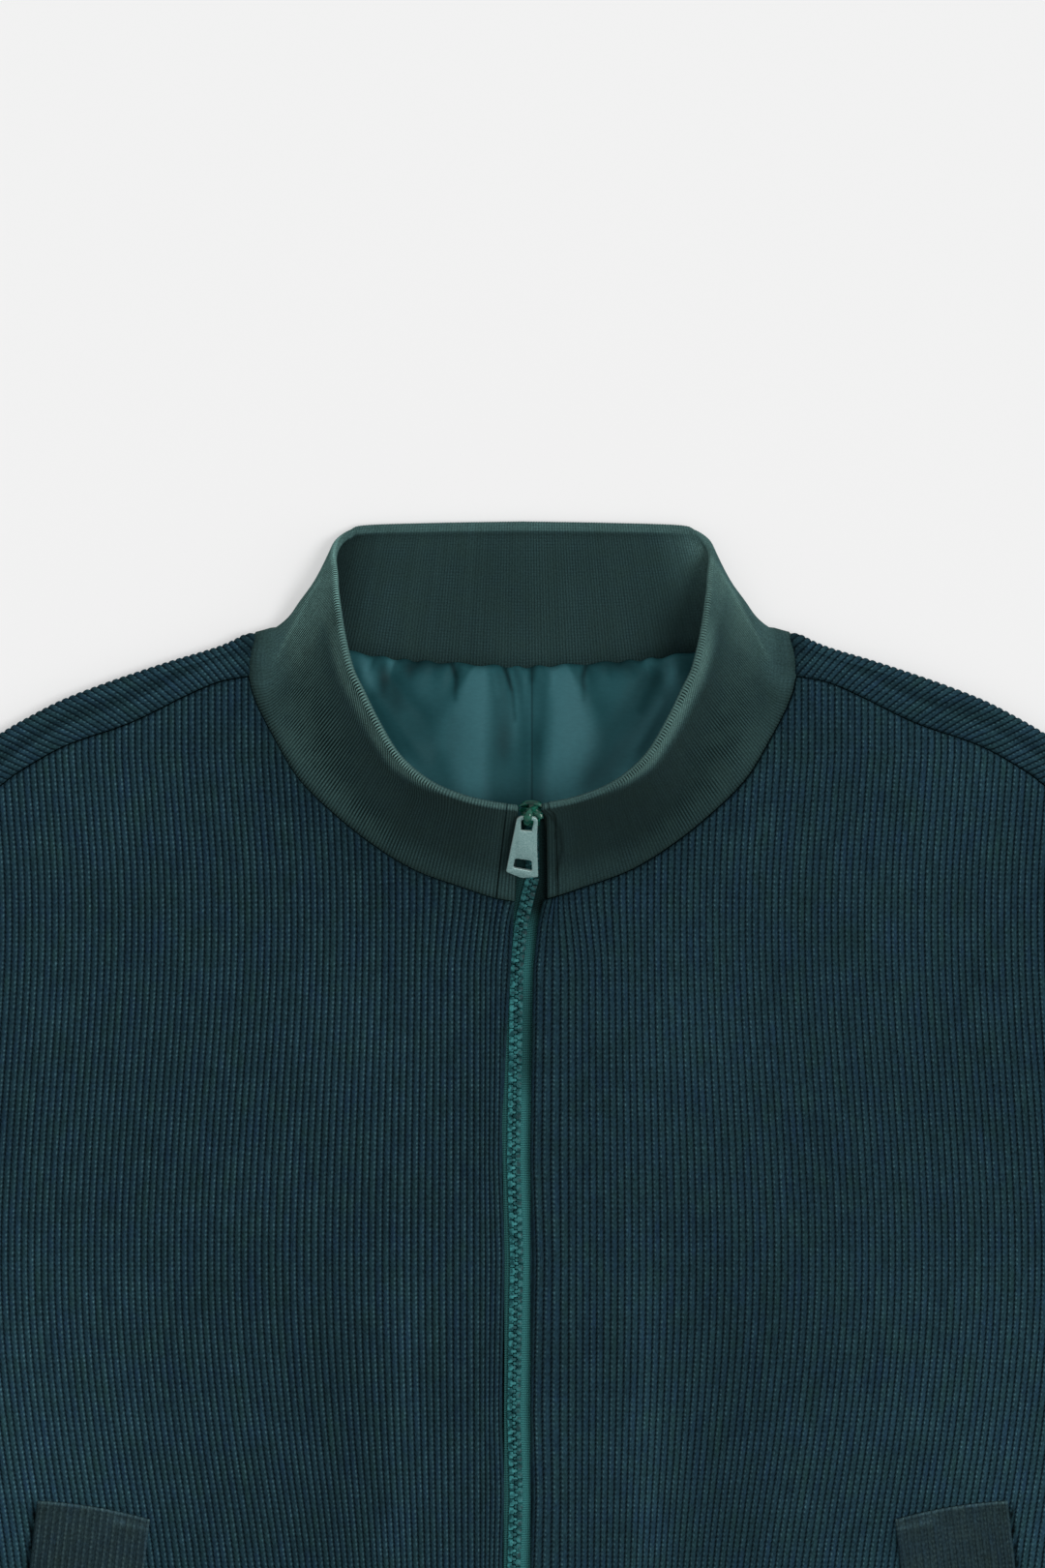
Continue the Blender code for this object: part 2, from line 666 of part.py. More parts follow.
def zip_strip(name, near, far, thick, finish):
    """A strip along the zip between two offsets from its middle, hem to slider."""
    loops = []
    above = np.array([0, 0, 1.0])
    for drop in (ZIP_FOOT, 560, 470, 386, 356, 322, 298, 258, 218, 170, 138, 126, 118, 114):
        middle = np.array([zip_x(drop), drop, zip_height(drop)])
        edges = [(middle + np.array([offset, 0, 0]), above) for offset in (near, far)]
        loops.append(strip_loop(edges, thick))
    for up in (0.05, 0.14, 0.26, 0.4, 0.54, 0.64, ZIP_TOP):
        loops.append(strip_loop([zip_frame(up, near), zip_frame(up, far)], thick))
    return loft(name, loops, finish)


def strip_loop(edges, thick):
    """Four corners of a flat strip's section."""
    (a, out_a), (b, out_b) = edges
    corners = (a + out_a * thick / 2, b + out_b * thick / 2,
               b - out_b * thick / 2, a - out_a * thick / 2)
    return [place(p[0], p[1], p[2]) for p in corners]


def build_zip():
    """Two tapes and the chain of teeth between them."""
    half = CHAIN_WIDTH / 2
    zip_strip("zip_tape_left", -half - 0.3, -half - TAPE_WIDTH, TAPE_THICK, "zip_tape")
    zip_strip("zip_tape_right", half + 0.3, half + TAPE_WIDTH, TAPE_THICK, "zip_tape")
    zip_strip("zip_chain", -half, half, CHAIN_THICK, "zip_teeth")


def slider_frame():
    """Slider's middle, across, up-the-zip and outward directions, in the garment's measures."""
    spot, out = zip_frame(SLIDER_UP)
    out[0] = 0
    out = out / np.linalg.norm(out)
    along = np.cross(np.array([1.0, 0, 0]), out)
    if along[1] > 0:
        along = -along
    return spot, np.array([1.0, 0, 0]), along, out


def slider_place(x, y, z):
    """From the slider's own axes to a point in metres."""
    spot, across, along, out = slider_frame()
    p = spot + across * x + along * y + out * z
    return place(p[0], p[1], p[2])


def prism(name, outline, bottom, top, finish):
    """A flat outline in the slider's plane, given thickness."""
    loops = [[slider_place(x, y, z) for x, y in outline] for z in (bottom, top)]
    return loft(name, loops, finish)


def as_cutter(item):
    """Keep a Boolean's second object out of the part itself."""
    item.hide_render = True
    item.display_type = "WIRE"
    bpy.data.collections[COLLECTION].objects.unlink(item)
    bpy.data.collections[CUTTERS].objects.link(item)


def build_slider():
    """The slider: a waisted body and the bridge that holds the tab."""
    w, l = SLIDER_WIDTH / 2, SLIDER_LENGTH / 2
    right = [(0.62 * w, -l), (0.86 * w, -0.6 * l), (w, 0.35 * l), (0.8 * w, l),
             (0.3 * w, 0.92 * l)]
    body = right + [(0, 0.8 * l)] + [(-x, y) for x, y in right[::-1]]
    half = SLIDER_THICK / 2
    slider = prism("zip_slider", body, -half, half, "slider_paint")
    reach = BRIDGE_REACH
    seat = half - BRIDGE_SEAT
    roof = HINGE_HEIGHT + 2.4
    under = HINGE_HEIGHT + 1.35
    arch = [(-reach, seat), (-reach, under - 0.3), (-reach + 0.9, roof - 0.3),
            (-reach + 2.0, roof), (reach - 2.0, roof), (reach - 0.9, roof - 0.3),
            (reach, under - 0.3), (reach, seat), (reach - 1.7, seat),
            (reach - 1.7, under - 0.2), (reach - 2.2, under), (-reach + 2.2, under),
            (-reach + 1.7, under - 0.2), (-reach + 1.7, seat)]
    loops = [[slider_place(x, y + HINGE_ALONG, z) for y, z in arch]
             for x in (-BRIDGE_WIDTH / 2, BRIDGE_WIDTH / 2)]
    bridge = loft("bridge", loops, "slider_paint")
    join = slider.modifiers.new("bridge", "BOOLEAN")
    join.operation = "UNION"
    join.object = bridge
    as_cutter(bridge)


def tab_axes():
    """Hinge point, hinge axis, down-the-tab direction and outward direction at rest."""
    spot, across, along, out = slider_frame()
    hinge = spot + along * HINGE_ALONG + out * HINGE_HEIGHT
    rest, rest_out = zip_frame(TAB_REST_UP)
    surface = collar_middle(0.0, TAB_REST_UP) + rest_out * (RIB_KNIT / 2 + TAB_CLEARANCE + TAB_THICK / 2)
    down = surface - hinge
    down[0] = 0
    down = down / np.linalg.norm(down)
    normal = np.cross(down, across)
    if normal[2] < 0:
        normal = -normal
    c, s = math.cos(TAB_TURN), math.sin(TAB_TURN)
    turned_down = down * c + across * s
    turned_across = across * c - down * s
    return hinge, turned_across, turned_down, normal


def build_tab():
    """The pull tab: a tapered plate with a loop at its top and a window at its foot."""
    hinge, across, down, out = tab_axes()

    def spot(x, y, z):
        p = hinge + across * x + down * y + out * z
        return np.array(place(p[0], p[1], p[2]))

    side = [(3.1, -TAB_HEAD), (TAB_TOP, 1.4 - TAB_HEAD), (TAB_LOW, TAB_CORNER),
            (TAB_LOW - 0.5, TAB_CORNER + 0.7)]
    outline = side + [(0, TAB_LENGTH)] + [(-x, y) for x, y in side[::-1]]
    loop_side = [(2.6, TAB_HEAD), (2.9, TAB_HEAD + 0.55), (3.1, 6.2)]
    loop_hole = loop_side + [(-x, y) for x, y in loop_side[::-1]]
    foot_hole = []
    for cx, cy in ((3.2, 23.9), (3.5, 27.6), (-3.5, 27.6), (-3.2, 23.9)):
        base = math.atan2(cy - 25.75, cx)
        for turn in (-1, 0, 1):
            angle = base + turn * math.radians(40)
            foot_hole.append((cx + math.cos(angle), cy + math.sin(angle)))
    pieces = []
    for name, line, deep in (("pull_tab", outline, TAB_THICK / 2),
                             ("loop_hole", loop_hole, TAB_THICK),
                             ("foot_hole", foot_hole, TAB_THICK)):
        centre = spot(0, 0, 0)
        loops = [[tuple(spot(x, y, z) - centre) for x, y in line] for z in (-deep, deep)]
        piece = loft(name, loops, "tab_metal")
        piece.location = centre
        pieces.append(piece)
    tab = pieces[0]
    for cutter in pieces[1:]:
        cut = tab.modifiers.new(cutter.name, "BOOLEAN")
        cut.operation = "DIFFERENCE"
        cut.object = cutter
        as_cutter(cutter)
    round_off = tab.modifiers.new("round_off", "BEVEL")
    round_off.width = 0.25 * MM
    round_off.segments = 1
    round_off.limit_method = "ANGLE"
    round_off.angle_limit = math.radians(50)


def build_welt(name, side):
    """A wide welt that lies on the front, ribbed as the front is."""
    columns = 2 * int(WELT_WIDTH / RIB_PITCH)
    loops = []
    for k in range(columns + 1):
        way = k / columns
        crest = RIB_HEIGHT * (k % 2)
        points = []
        for row in (0, 0.5, 1.0):
            drop = WELT_CORNER[1] + WELT_TOP_SLOPE * way * WELT_WIDTH + row * WELT_LENGTH
            x = WELT_CORNER[0] - way * WELT_WIDTH + WELT_LEAN * row * WELT_LENGTH
            ground = front_under(x, drop) + CLOTH + RIB_HEIGHT + SEAM
            points.append((x, drop, ground))
        upper = [place(side * x, d, z + WELT_WALL + crest) for x, d, z in points]
        lower = [place(side * x, d, z) for x, d, z in points]
        loops.append(upper + lower[::-1])
    return loft(name, loops, "velvet")


def main():
    """Build every piece."""
    clear_scene()
    for title in (COLLECTION, CUTTERS):
        group = bpy.data.collections.get(title) or bpy.data.collections.new(title)
        if group.name not in bpy.context.scene.collection.children:
            bpy.context.scene.collection.children.link(group)
    build_back()
    build_front("front_left", -1, LEFT_EDGE)
    build_front("front_right", 1, RIGHT_EDGE)
    for name, side in (("left", -1), ("right", 1)):
        build_sleeve("sleeve_" + name, side)
        build_cuff("cuff_" + name, side)
        build_welt("pocket_welt_" + name, side)
    build_hem()
    build_collar()
    build_collar_end("collar_end_left", -1, *LEFT_FACING)
    build_collar_end("collar_end_right", 1, *RIGHT_FACING)
    build_lining()
    build_zip()
    build_slider()
    build_tab()


main()
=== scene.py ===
# %% [markdown]
# # A ribbed velvet track jacket, laid out flat
# The jacket lies face up on a pale table and the camera looks straight down on it.
# The frame below is the rigid model of the same jacket. Every piece of cloth is built
# here again in its place, with the ribs, seams and folds that a plain solid leaves out.

# %% Load the frame
import math
from functools import partial

import bmesh
import bpy
import numpy as np
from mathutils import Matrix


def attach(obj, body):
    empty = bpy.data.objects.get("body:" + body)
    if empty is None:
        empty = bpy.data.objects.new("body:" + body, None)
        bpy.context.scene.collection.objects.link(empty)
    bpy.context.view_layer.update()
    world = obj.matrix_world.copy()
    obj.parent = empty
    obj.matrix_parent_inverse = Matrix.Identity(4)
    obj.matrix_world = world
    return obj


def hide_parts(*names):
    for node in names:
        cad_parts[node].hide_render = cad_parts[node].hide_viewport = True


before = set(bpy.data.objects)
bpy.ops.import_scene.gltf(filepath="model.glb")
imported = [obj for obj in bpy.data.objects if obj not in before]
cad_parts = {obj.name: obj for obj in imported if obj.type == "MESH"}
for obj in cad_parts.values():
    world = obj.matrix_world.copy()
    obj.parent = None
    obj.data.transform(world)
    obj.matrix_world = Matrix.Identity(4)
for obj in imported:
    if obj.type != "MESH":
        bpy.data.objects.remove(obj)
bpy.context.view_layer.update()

# %% [markdown]
# ## Measures
# A pattern cutter measures a jacket from the high point of the shoulder, so every length
# here is in millimetres and "drop" is the distance down the garment from that point.
# One function turns such a measure to the scene's metres.

# %% Lengths of the jacket
MM = 0.001
HEM_DROP, COLLAR_DROP = 660.0, -46.8
SHOULDER_Y = (HEM_DROP + COLLAR_DROP) / 2
BODY_BOTTOM = 600.0
CHEST_HALF, ARMPIT_DROP = 285.0, 315.0
SHOULDER_X, SHOULDER_DROP = 241.0, 58.9
SIDE_START, BLOUSE, ARMHOLE_SWEEP = 246.0, 120.0, 2.2
SEAM = 0.35

CLOTH, FRONT_UNDER, SIDE_UNDER = 2.4, 5.0, 2.7
FRONT_OVER = FRONT_UNDER + CLOTH
FOLD_RADIUS = FRONT_OVER / 2
RIB, RIB_HEIGHT, COURSE = 2.75, 0.85, 2.0
KNIT_WALL = 3.4

SIDES = (("left", -1), ("right", 1))


def metres(x, drop, z):
    """A point in metres: x to the right, Y is the shoulder's height less the drop."""
    x, drop, z = np.broadcast_arrays(x, drop, z)
    return np.stack([x, SHOULDER_Y - drop, np.maximum(z, 0.0)], axis=-1) * MM


def laid(points, side=1):
    """Rows of x, drop and height in metres, with x turned to the side they belong to."""
    return metres(side * points[..., 0], points[..., 1], points[..., 2])


def rise(value):
    """Smooth step, 3v squared less 2v cubed, from 0 at 0 to 1 at 1."""
    value = np.clip(value, 0, 1)
    return value * value * (3 - 2 * value)


def hill(value, middle, wide):
    """A bell: e to the minus square of the distance from its middle over its width."""
    return np.exp(-((value - middle) / wide) ** 2)


def smooth_line(rows, count):
    """Cubic through every row, each span from its four nearest rows, then read again at
    even steps of its length."""
    rows = np.array(rows, float)
    ends = np.vstack([2 * rows[0] - rows[1], rows, 2 * rows[-1] - rows[-2]])
    a, b, c, d = (ends[k:len(rows) - 1 + k, None] for k in range(4))
    t = np.linspace(0, 1, 24, endpoint=False)[None, :, None]
    spans = 0.5 * (2 * b + (c - a) * t + (2 * a - 5 * b + 4 * c - d) * t ** 2
                   + (3 * b - a - 3 * c + d) * t ** 3)
    fine = np.vstack([spans.reshape(-1, rows.shape[1]), rows[-1:]])
    way = np.concatenate([[0], np.cumsum(np.linalg.norm(np.diff(fine, axis=0), axis=1))])
    at = np.linspace(0, way[-1], count)
    return np.column_stack([np.interp(at, way, column) for column in fine.T])


def read_line(line, share):
    """Points of a line at shares of its length, each coordinate read by itself."""
    at = np.asarray(share) * (len(line) - 1)
    steps = np.arange(len(line))
    return np.stack([np.interp(at, steps, column) for column in line.T], axis=-1)

print("shoulder at", SHOULDER_Y, "mm, jacket", HEM_DROP - COLLAR_DROP, "mm long")

# %% [markdown]
# ## Seam lines
# The outline of a garment is set by a few seams: the fold over the shoulder, the seam in
# front of it, the neck seam and the collar's upper edge. Each is a short list of places
# with a smooth line drawn through them, as a cutter draws them with a curved rule.

# %% The seams as smooth lines
SHOULDER_FOLD = smooth_line(
    [(113.9, -0.6), (120, 2.8), (128, 6.0), (144, 10.8), (160, 16.0), (176, 21.6),
     (192, 28.0), (208, 36.4), (216, 41.2), (225, 47.0), (233, 52.7), (241, 58.9)], 400)
SHOULDER_SEAM = smooth_line(
    [(113.9, 17.8), (125.7, 20.0), (139.5, 25.8), (162.4, 36.9), (189.2, 46.4),
     (208.4, 57.2), (216, 62.9), (225, 69.0), (233, 74.6), (241, 80.4)], 400)
# The neck seam and the collar's top, centre front to centre back: x, drop, height
NECK_SEAM = smooth_line(
    [(0, 110.8, 9.2), (11.2, 109.0, 9.2), (25, 104.5, 9.2), (44.1, 97.6, 9.2),
     (61.4, 87.2, 9.2), (78.8, 73.3, 9.0), (92.6, 59.4, 8.2), (103, 42.1, 7.0),
     (110.8, 26.4, 6.3), (113.3, 15.0, 6.2), (112.9, 7.0, 6.0), (111.6, 1.6, 5.3),
     (109.8, -0.9, 4.1), (107.2, -0.4, 2.7), (103, 1.6, 1.9), (92, 4.8, 1.7),
     (72, 7.6, 1.7), (52.8, 10.8, 1.7), (32, 12.4, 1.7), (0, 14.3, 1.7)], 900)
COLLAR_EDGE = smooth_line(
    [(0, 71.8, 40), (11.1, 70.6, 39.8), (25, 67.4, 39.3), (38.9, 61.2, 38.5),
     (51, 50.8, 37), (59.7, 36.9, 35.5), (66.6, 23, 33.5), (70.4, 15.1, 32),
     (73.2, 4.8, 29.5), (75.2, -5.3, 26), (76.8, -16.8, 21), (77.2, -25, 15.8),
     (77.8, -31.6, 10.8), (77.0, -36.8, 7.2), (74.7, -40.6, 4.6), (70.8, -43.3, 2.8),
     (64.5, -45.1, 1.9), (34, -46.2, 1.7), (0, -46.8, 1.7)], 900)
ZIP_LINE = np.array(
    [(70, 3.4), (95, 4.0), (102, 4.0), (108, 2.4), (114, 0.8), (120, -0.5), (138, -2.4),
     (218, -3.7), (258, -2.4), (298, -3.2), (322, -3.6), (356, -2.6), (386, -3.6),
     (660, -3.0)])
LEFT_EDGE, RIGHT_EDGE = 5.0, 6.8

NECK_FRONT = NECK_SEAM[NECK_SEAM[:, 1] > 15.0]
neck_run = np.gradient(NECK_FRONT[:, :2], axis=0)
neck_run /= np.linalg.norm(neck_run, axis=1)[:, None]
NECK_EDGE = NECK_FRONT[:, :2] + SEAM * np.column_stack([-neck_run[:, 1], neck_run[:, 0]])
NECK_BACK = NECK_SEAM[-420:][::-1]
NECK_BACK = NECK_BACK[NECK_BACK[:, 2] < 1.95]


def drop_on(line, x):
    """Drop of a line at a distance from the middle, straight between its points."""
    return np.interp(x, line[:, 0], line[:, 1])


def armhole_x(drop):
    """The armhole sweeps out as a power of the way down from shoulder to armpit."""
    way = np.clip((drop - SHOULDER_DROP) / (ARMPIT_DROP - SHOULDER_DROP), 0, 1)
    return SHOULDER_X + (CHEST_HALF - SHOULDER_X) * way ** ARMHOLE_SWEEP


def armhole_drop(x):
    """The same curve read the other way."""
    way = np.clip((x - SHOULDER_X) / (CHEST_HALF - SHOULDER_X), 0, 1)
    return SHOULDER_DROP + (ARMPIT_DROP - SHOULDER_DROP) * way ** (1 / ARMHOLE_SWEEP)


def body_bottom(x):
    """The hem seam, then a quarter of an ellipse where the side blouses over it."""
    way = np.clip((x - SIDE_START) / (CHEST_HALF - SIDE_START), 0, 1)
    return BODY_BOTTOM - BLOUSE * (1 - np.sqrt(1 - way ** 2))


def zip_x(drop):
    """Offset of the middle of the zip, straight between the rows of its table."""
    return np.interp(drop, ZIP_LINE[:, 0], ZIP_LINE[:, 1])


print("neck seam", len(NECK_SEAM), "points, zip wanders from",
      ZIP_LINE[:, 1].min(), "to", ZIP_LINE[:, 1].max(), "mm")

# %% [markdown]
# ## One way to make every panel
# A sewn panel is a wall of cloth: a face that shows, a plain back, and edges. Here the
# two faces are one grid of points whose rows run down the outside and back up the inside,
# so the wall closes on itself. A tube, such as a sleeve, also joins its last column to its
# first. Solidify would do this too, but it would copy the fine ribs to the hidden face.
# Each corner carries a place on the cloth, counted in ribs across and in courses along,
# so that the finish knows where each rib is.

# %% From a mesh to a piece
def shown(mesh, finish, sharp=None, **marks):
    """Show a mesh as an object at the origin, shaded smooth, but sharp where faces meet at
    more than an angle in degrees. A mark is a number that each point carries."""
    for title, values in marks.items():
        values = np.ravel(values).astype(np.float32)
        mesh.attributes.new(title, "FLOAT", "POINT").data.foreach_set("value", values)
    mesh.shade_smooth()
    if sharp:
        mesh.set_sharp_from_angle(angle=math.radians(sharp))
    mesh.materials.append(finish)
    piece = bpy.data.objects.new(mesh.name, mesh)
    bpy.context.scene.collection.objects.link(piece)
    print(mesh.name, len(mesh.polygons), "faces")
    return piece


def stand_in(piece, slot, *nodes, body="jacket"):
    """The piece takes the place of its solids and moves with their body."""
    if nodes:
        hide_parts(*nodes)
    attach(piece, body)


# %% Turning grids into pieces of cloth
def corner_ring(rows, cols, ring):
    """Index of the four corners of every cell: rows wrap round, columns wrap on a tube."""
    wide = cols if ring else cols - 1
    r, c = np.meshgrid(np.arange(rows), np.arange(wide), indexing="ij")
    r, c = r.ravel(), c.ravel()
    row_next, col_next = (r + 1) % rows, c + 1
    place = np.stack([r * cols + c, r * cols + col_next % cols,
                      row_next * cols + col_next % cols, row_next * cols + c], axis=1)
    span = wide + 1
    cloth = np.stack([r * span + c, r * span + col_next,
                      row_next * span + col_next, row_next * span + c], axis=1)
    return place, cloth


def volume_of(points, quads):
    """Sum over the faces of a corner dotted with the face's doubled area, over six."""
    a, b, c, d = (points[quads[:, k]] for k in range(4))
    return float((a * np.cross(c - a, d - b)).sum() / 6)


def cloth_piece(name, grid, cloth, finish, ring=False, plain=0.0, tone=1.0, groove=1.0):
    """Make one closed piece from rows by columns of points. Each corner keeps its place on
    the cloth. Each point keeps where its ribs are only drawn, how light it is and how much
    darker its valleys are than its ribs."""
    rows, cols = grid.shape[:2]
    points = grid.reshape(-1, 3)
    quads, corners = corner_ring(rows, cols, ring)
    if volume_of(points, quads) < 0:
        quads, corners = quads[:, ::-1], corners[:, ::-1]
    faces = quads.tolist()
    places = cloth.reshape(-1, 2)[corners].reshape(-1, 2)
    if not ring:
        # one face closes the wall at its first column and one at its last
        first = np.arange(rows) * cols
        step = 1 if quads[0, 0] + 1 == quads[0, 1] else -1
        faces += [first[::step].tolist(), (first + cols - 1)[::-step].tolist()]
        places = np.vstack([places, cloth[::step, 0], cloth[::-step, -1]])
    mesh = bpy.data.meshes.new(name)
    mesh.from_pydata(points.tolist(), [], faces)
    mesh.uv_layers.new(name="cloth").data.foreach_set("uv", places.ravel().astype(np.float32))
    return shown(mesh, finish, **{title: np.broadcast_to(marks, (rows, cols)) for title, marks
                                  in (("plain", plain), ("tone", tone), ("groove", groove))})


# %% Ribs and turned edges
def rib_form(phase, sharp=3.0):
    """Section of a rib, 0 in the valley and 1 on the crest: one less a power of the
    distance from the crest, so that crests are broad and valleys are narrow."""
    return 1 - np.abs(2 * (phase - np.floor(phase)) - 1) ** sharp


def turned_edge(distance, deep):
    """How far cloth drops where it turns into a seam: a quarter circle of radius deep."""
    near = np.clip(1 - distance / deep, 0, 1)
    return deep * (1 - np.sqrt(1 - near ** 2))


print("a rib is", RIB, "mm wide and", RIB_HEIGHT, "mm high")

# %% [markdown]
# ## Closed parts and repeated rings
# Small hard parts, such as a tooth or the slider's plates, are stacks of like rings with a
# lid at each end. Extrude and Bevel would make them too, but rings are plain arrays, so a
# tooth can be repeated along a curve without a modifier.

# %% Rings and joined parts
def ring_faces(count, sides):
    """Faces of a closed stack of rings: quads between neighbours and a lid at each end."""
    j, k = np.meshgrid(np.arange(count - 1), np.arange(sides), indexing="ij")
    a, b = j * sides + k, j * sides + (k + 1) % sides
    quads = np.stack([a, b, b + sides, a + sides], axis=-1).reshape(-1, 4)
    return quads, np.array([np.arange(sides)[::-1], np.arange(sides) + (count - 1) * sides])


def stacked(outline, levels):
    """A flat outline drawn at each level's height, grown about its middle by its factor."""
    middle = outline.mean(axis=0)
    rings = [np.column_stack([middle + (outline - middle) * k, np.full(len(outline), z)])
             for k, z in levels]
    return np.vstack(rings), *ring_faces(len(levels), len(outline))


def joined(name, parts, finish, **marks):
    """One piece from closed parts, each turned so that its faces point outwards: the sum of
    the signed volumes of its faces' triangles, seen from the origin, is above nothing."""
    points, faces, start = [], [], 0
    for verts, own in parts:
        fan = np.array([(f[0], f[i], f[i + 1]) for f in own for i in range(1, len(f) - 1)])
        a, b, c = (verts[fan[:, i]] for i in range(3))
        step = -1 if (a * np.cross(b, c)).sum() < 0 else 1
        faces += [[v + start for v in f[::step]] for f in own]
        points.append(verts)
        start += len(verts)
    mesh = bpy.data.meshes.new(name)
    mesh.from_pydata(np.vstack(points).tolist(), [], faces)
    return shown(mesh, finish, sharp=50, **marks)


def unit(v):
    """Vectors of length one."""
    return v / np.maximum(np.linalg.norm(v, axis=-1, keepdims=True), 1e-9)


print("a ring of 4 over 3 levels has", len(ring_faces(3, 4)[0]), "quads and 2 lids")

# %% [markdown]
# ## Colours and nodes
# Colours are read off as sRGB hex values, the way a dye house would name a shade, and one
# function turns them to linear light. One more adds a node with its settings and links.
# Every finish here is a colour and a small relief, so one function links those two.

# %% Colour and node helpers
def shade(code):
    """sRGB hex to linear: the low end is a straight line, the rest a power of 2.4."""
    parts = np.array([int(code[k:k + 2], 16) for k in (0, 2, 4)]) / 255
    light = np.where(parts <= 0.04045, parts / 12.92, ((parts + 0.055) / 1.055) ** 2.4)
    return (*light.tolist(), 1.0)


def node(tree, kind, inputs=(), out=0, **settings):
    """Add a node and give back one of its outputs. Inputs fill its sockets in order, or by
    name or number: an output is linked, a value is set. Settings are its properties."""
    made = tree.nodes.new("ShaderNode" + kind)
    for key, value in settings.items():
        setattr(made, key, value)
    for key, value in inputs.items() if isinstance(inputs, dict) else enumerate(inputs):
        if isinstance(value, bpy.types.NodeSocket):
            tree.links.new(value, made.inputs[key])
        else:
            made.inputs[key].default_value = value
    return made.outputs[out]


def new_finish(name, **sockets):
    """A finish with even values set on its shader, and the way to add a node to it."""
    made = bpy.data.materials.new(name)
    made.use_nodes = True
    shader = made.node_tree.nodes["Principled BSDF"]
    for key, value in sockets.items():
        shader.inputs[key.replace("_", " ")].default_value = value
    return made, shader, partial(node, made.node_tree)


def dress(shader, colour, height, deep, strength):
    """Link a colour to the shader, and a relief: its depth in metres and its strength."""
    tree = shader.id_data
    tree.links.new(colour, shader.inputs["Base Color"])
    bump = node(tree, "Bump", {"Height": height, "Distance": deep, "Strength": strength})
    tree.links.new(bump, shader.inputs["Normal"])
    print("a finish of", len(tree.nodes), "nodes with", deep * 1000, "mm of relief")


print("mid grey 808080 is", round(shade("808080")[0], 3), "in linear light")

# %% [markdown]
# ## Patterns that follow the cloth
# Every piece of cloth knows its place in ribs across and courses along, so a rib or a
# stitch is worked out from that place and never slides. A light level is a product of
# slow and fine patterns, and a relief is a sum of them.

# %% Patterns in ribs and courses
def cloth_place(add):
    """Ribs across, courses along, and the point in space."""
    place = add("SeparateXYZ", (add("UVMap", uv_map="cloth"),)).node
    return place.outputs[0], place.outputs[1], add("TexCoord", out="Object")


def rib_shape(add, across, sharp):
    """Distance from a rib's crest, 0 to 1 at the valley, and a power of it for the shade,
    made deeper or weaker by the mesh's groove."""
    off = add("Math", (across,), operation="FRACT")
    off = add("Math", (off, 2.0, -1.0), operation="MULTIPLY_ADD")
    off = add("Math", (off,), operation="ABSOLUTE")
    deep = add("Math", (off, sharp), operation="POWER")
    groove = add("Attribute", out="Fac", attribute_name="groove")
    return off, add("Math", (deep, groove), operation="MULTIPLY", use_clamp=True)


def wave_along(add, along, sharp=1.0, phase=0.0):
    """Half of one plus the cosine of a full turn every course, to a power."""
    wave = add("Math", (along, 2 * math.pi, phase), operation="MULTIPLY_ADD")
    wave = add("Math", (wave,), operation="COSINE")
    wave = add("Math", (wave, 0.5, 0.5), operation="MULTIPLY_ADD")
    return add("Math", (wave, sharp), operation="POWER")


def layered(add, level, *layers):
    """A level times each pattern, which goes from its least to its most factor as it goes
    from 0.3 to 0.7, where nearly all of a noise lies."""
    for source, least, most in layers:
        factor = add("MapRange", (source, 0.3, 0.7, least, most))
        level = add("Math", (level, factor), operation="MULTIPLY")
    return level


def relief(add, depth, *layers):
    """Ribs only where the mesh has none, and then each pattern times its share."""
    plain = add("Attribute", out="Fac", attribute_name="plain")
    height = add("Math", (depth, plain), operation="MULTIPLY")
    height = add("Math", (height, -1.0, 1.0), operation="MULTIPLY_ADD")
    for source, share in layers:
        height = add("Math", (source, share, height), operation="MULTIPLY_ADD")
    return height


print("ribs", RIB, "mm and courses", COURSE, "mm apart on the velvet")

# %% [markdown]
# ## Rib velvet
# The shell is a chenille velvet: furry yarn knitted into upright ribs 2.75 mm apart, with
# an open stitch every 2 mm in the valley between two ribs. Dye takes a little differently
# on every yarn, so ribs go from blue to green and from light to dark along their length.
# Beside each open stitch the loop of yarn stands up and catches the light, painted here as a
# highlight, a pale dot, and loose pile adds pale specks half a millimetre wide. The pile's
# glow at a low angle is the shader's sheen, and valleys and stitches are painted dark, because the
# pile there is in shade.

# %% The velvet finish
VELVET_SHARP = 3.4


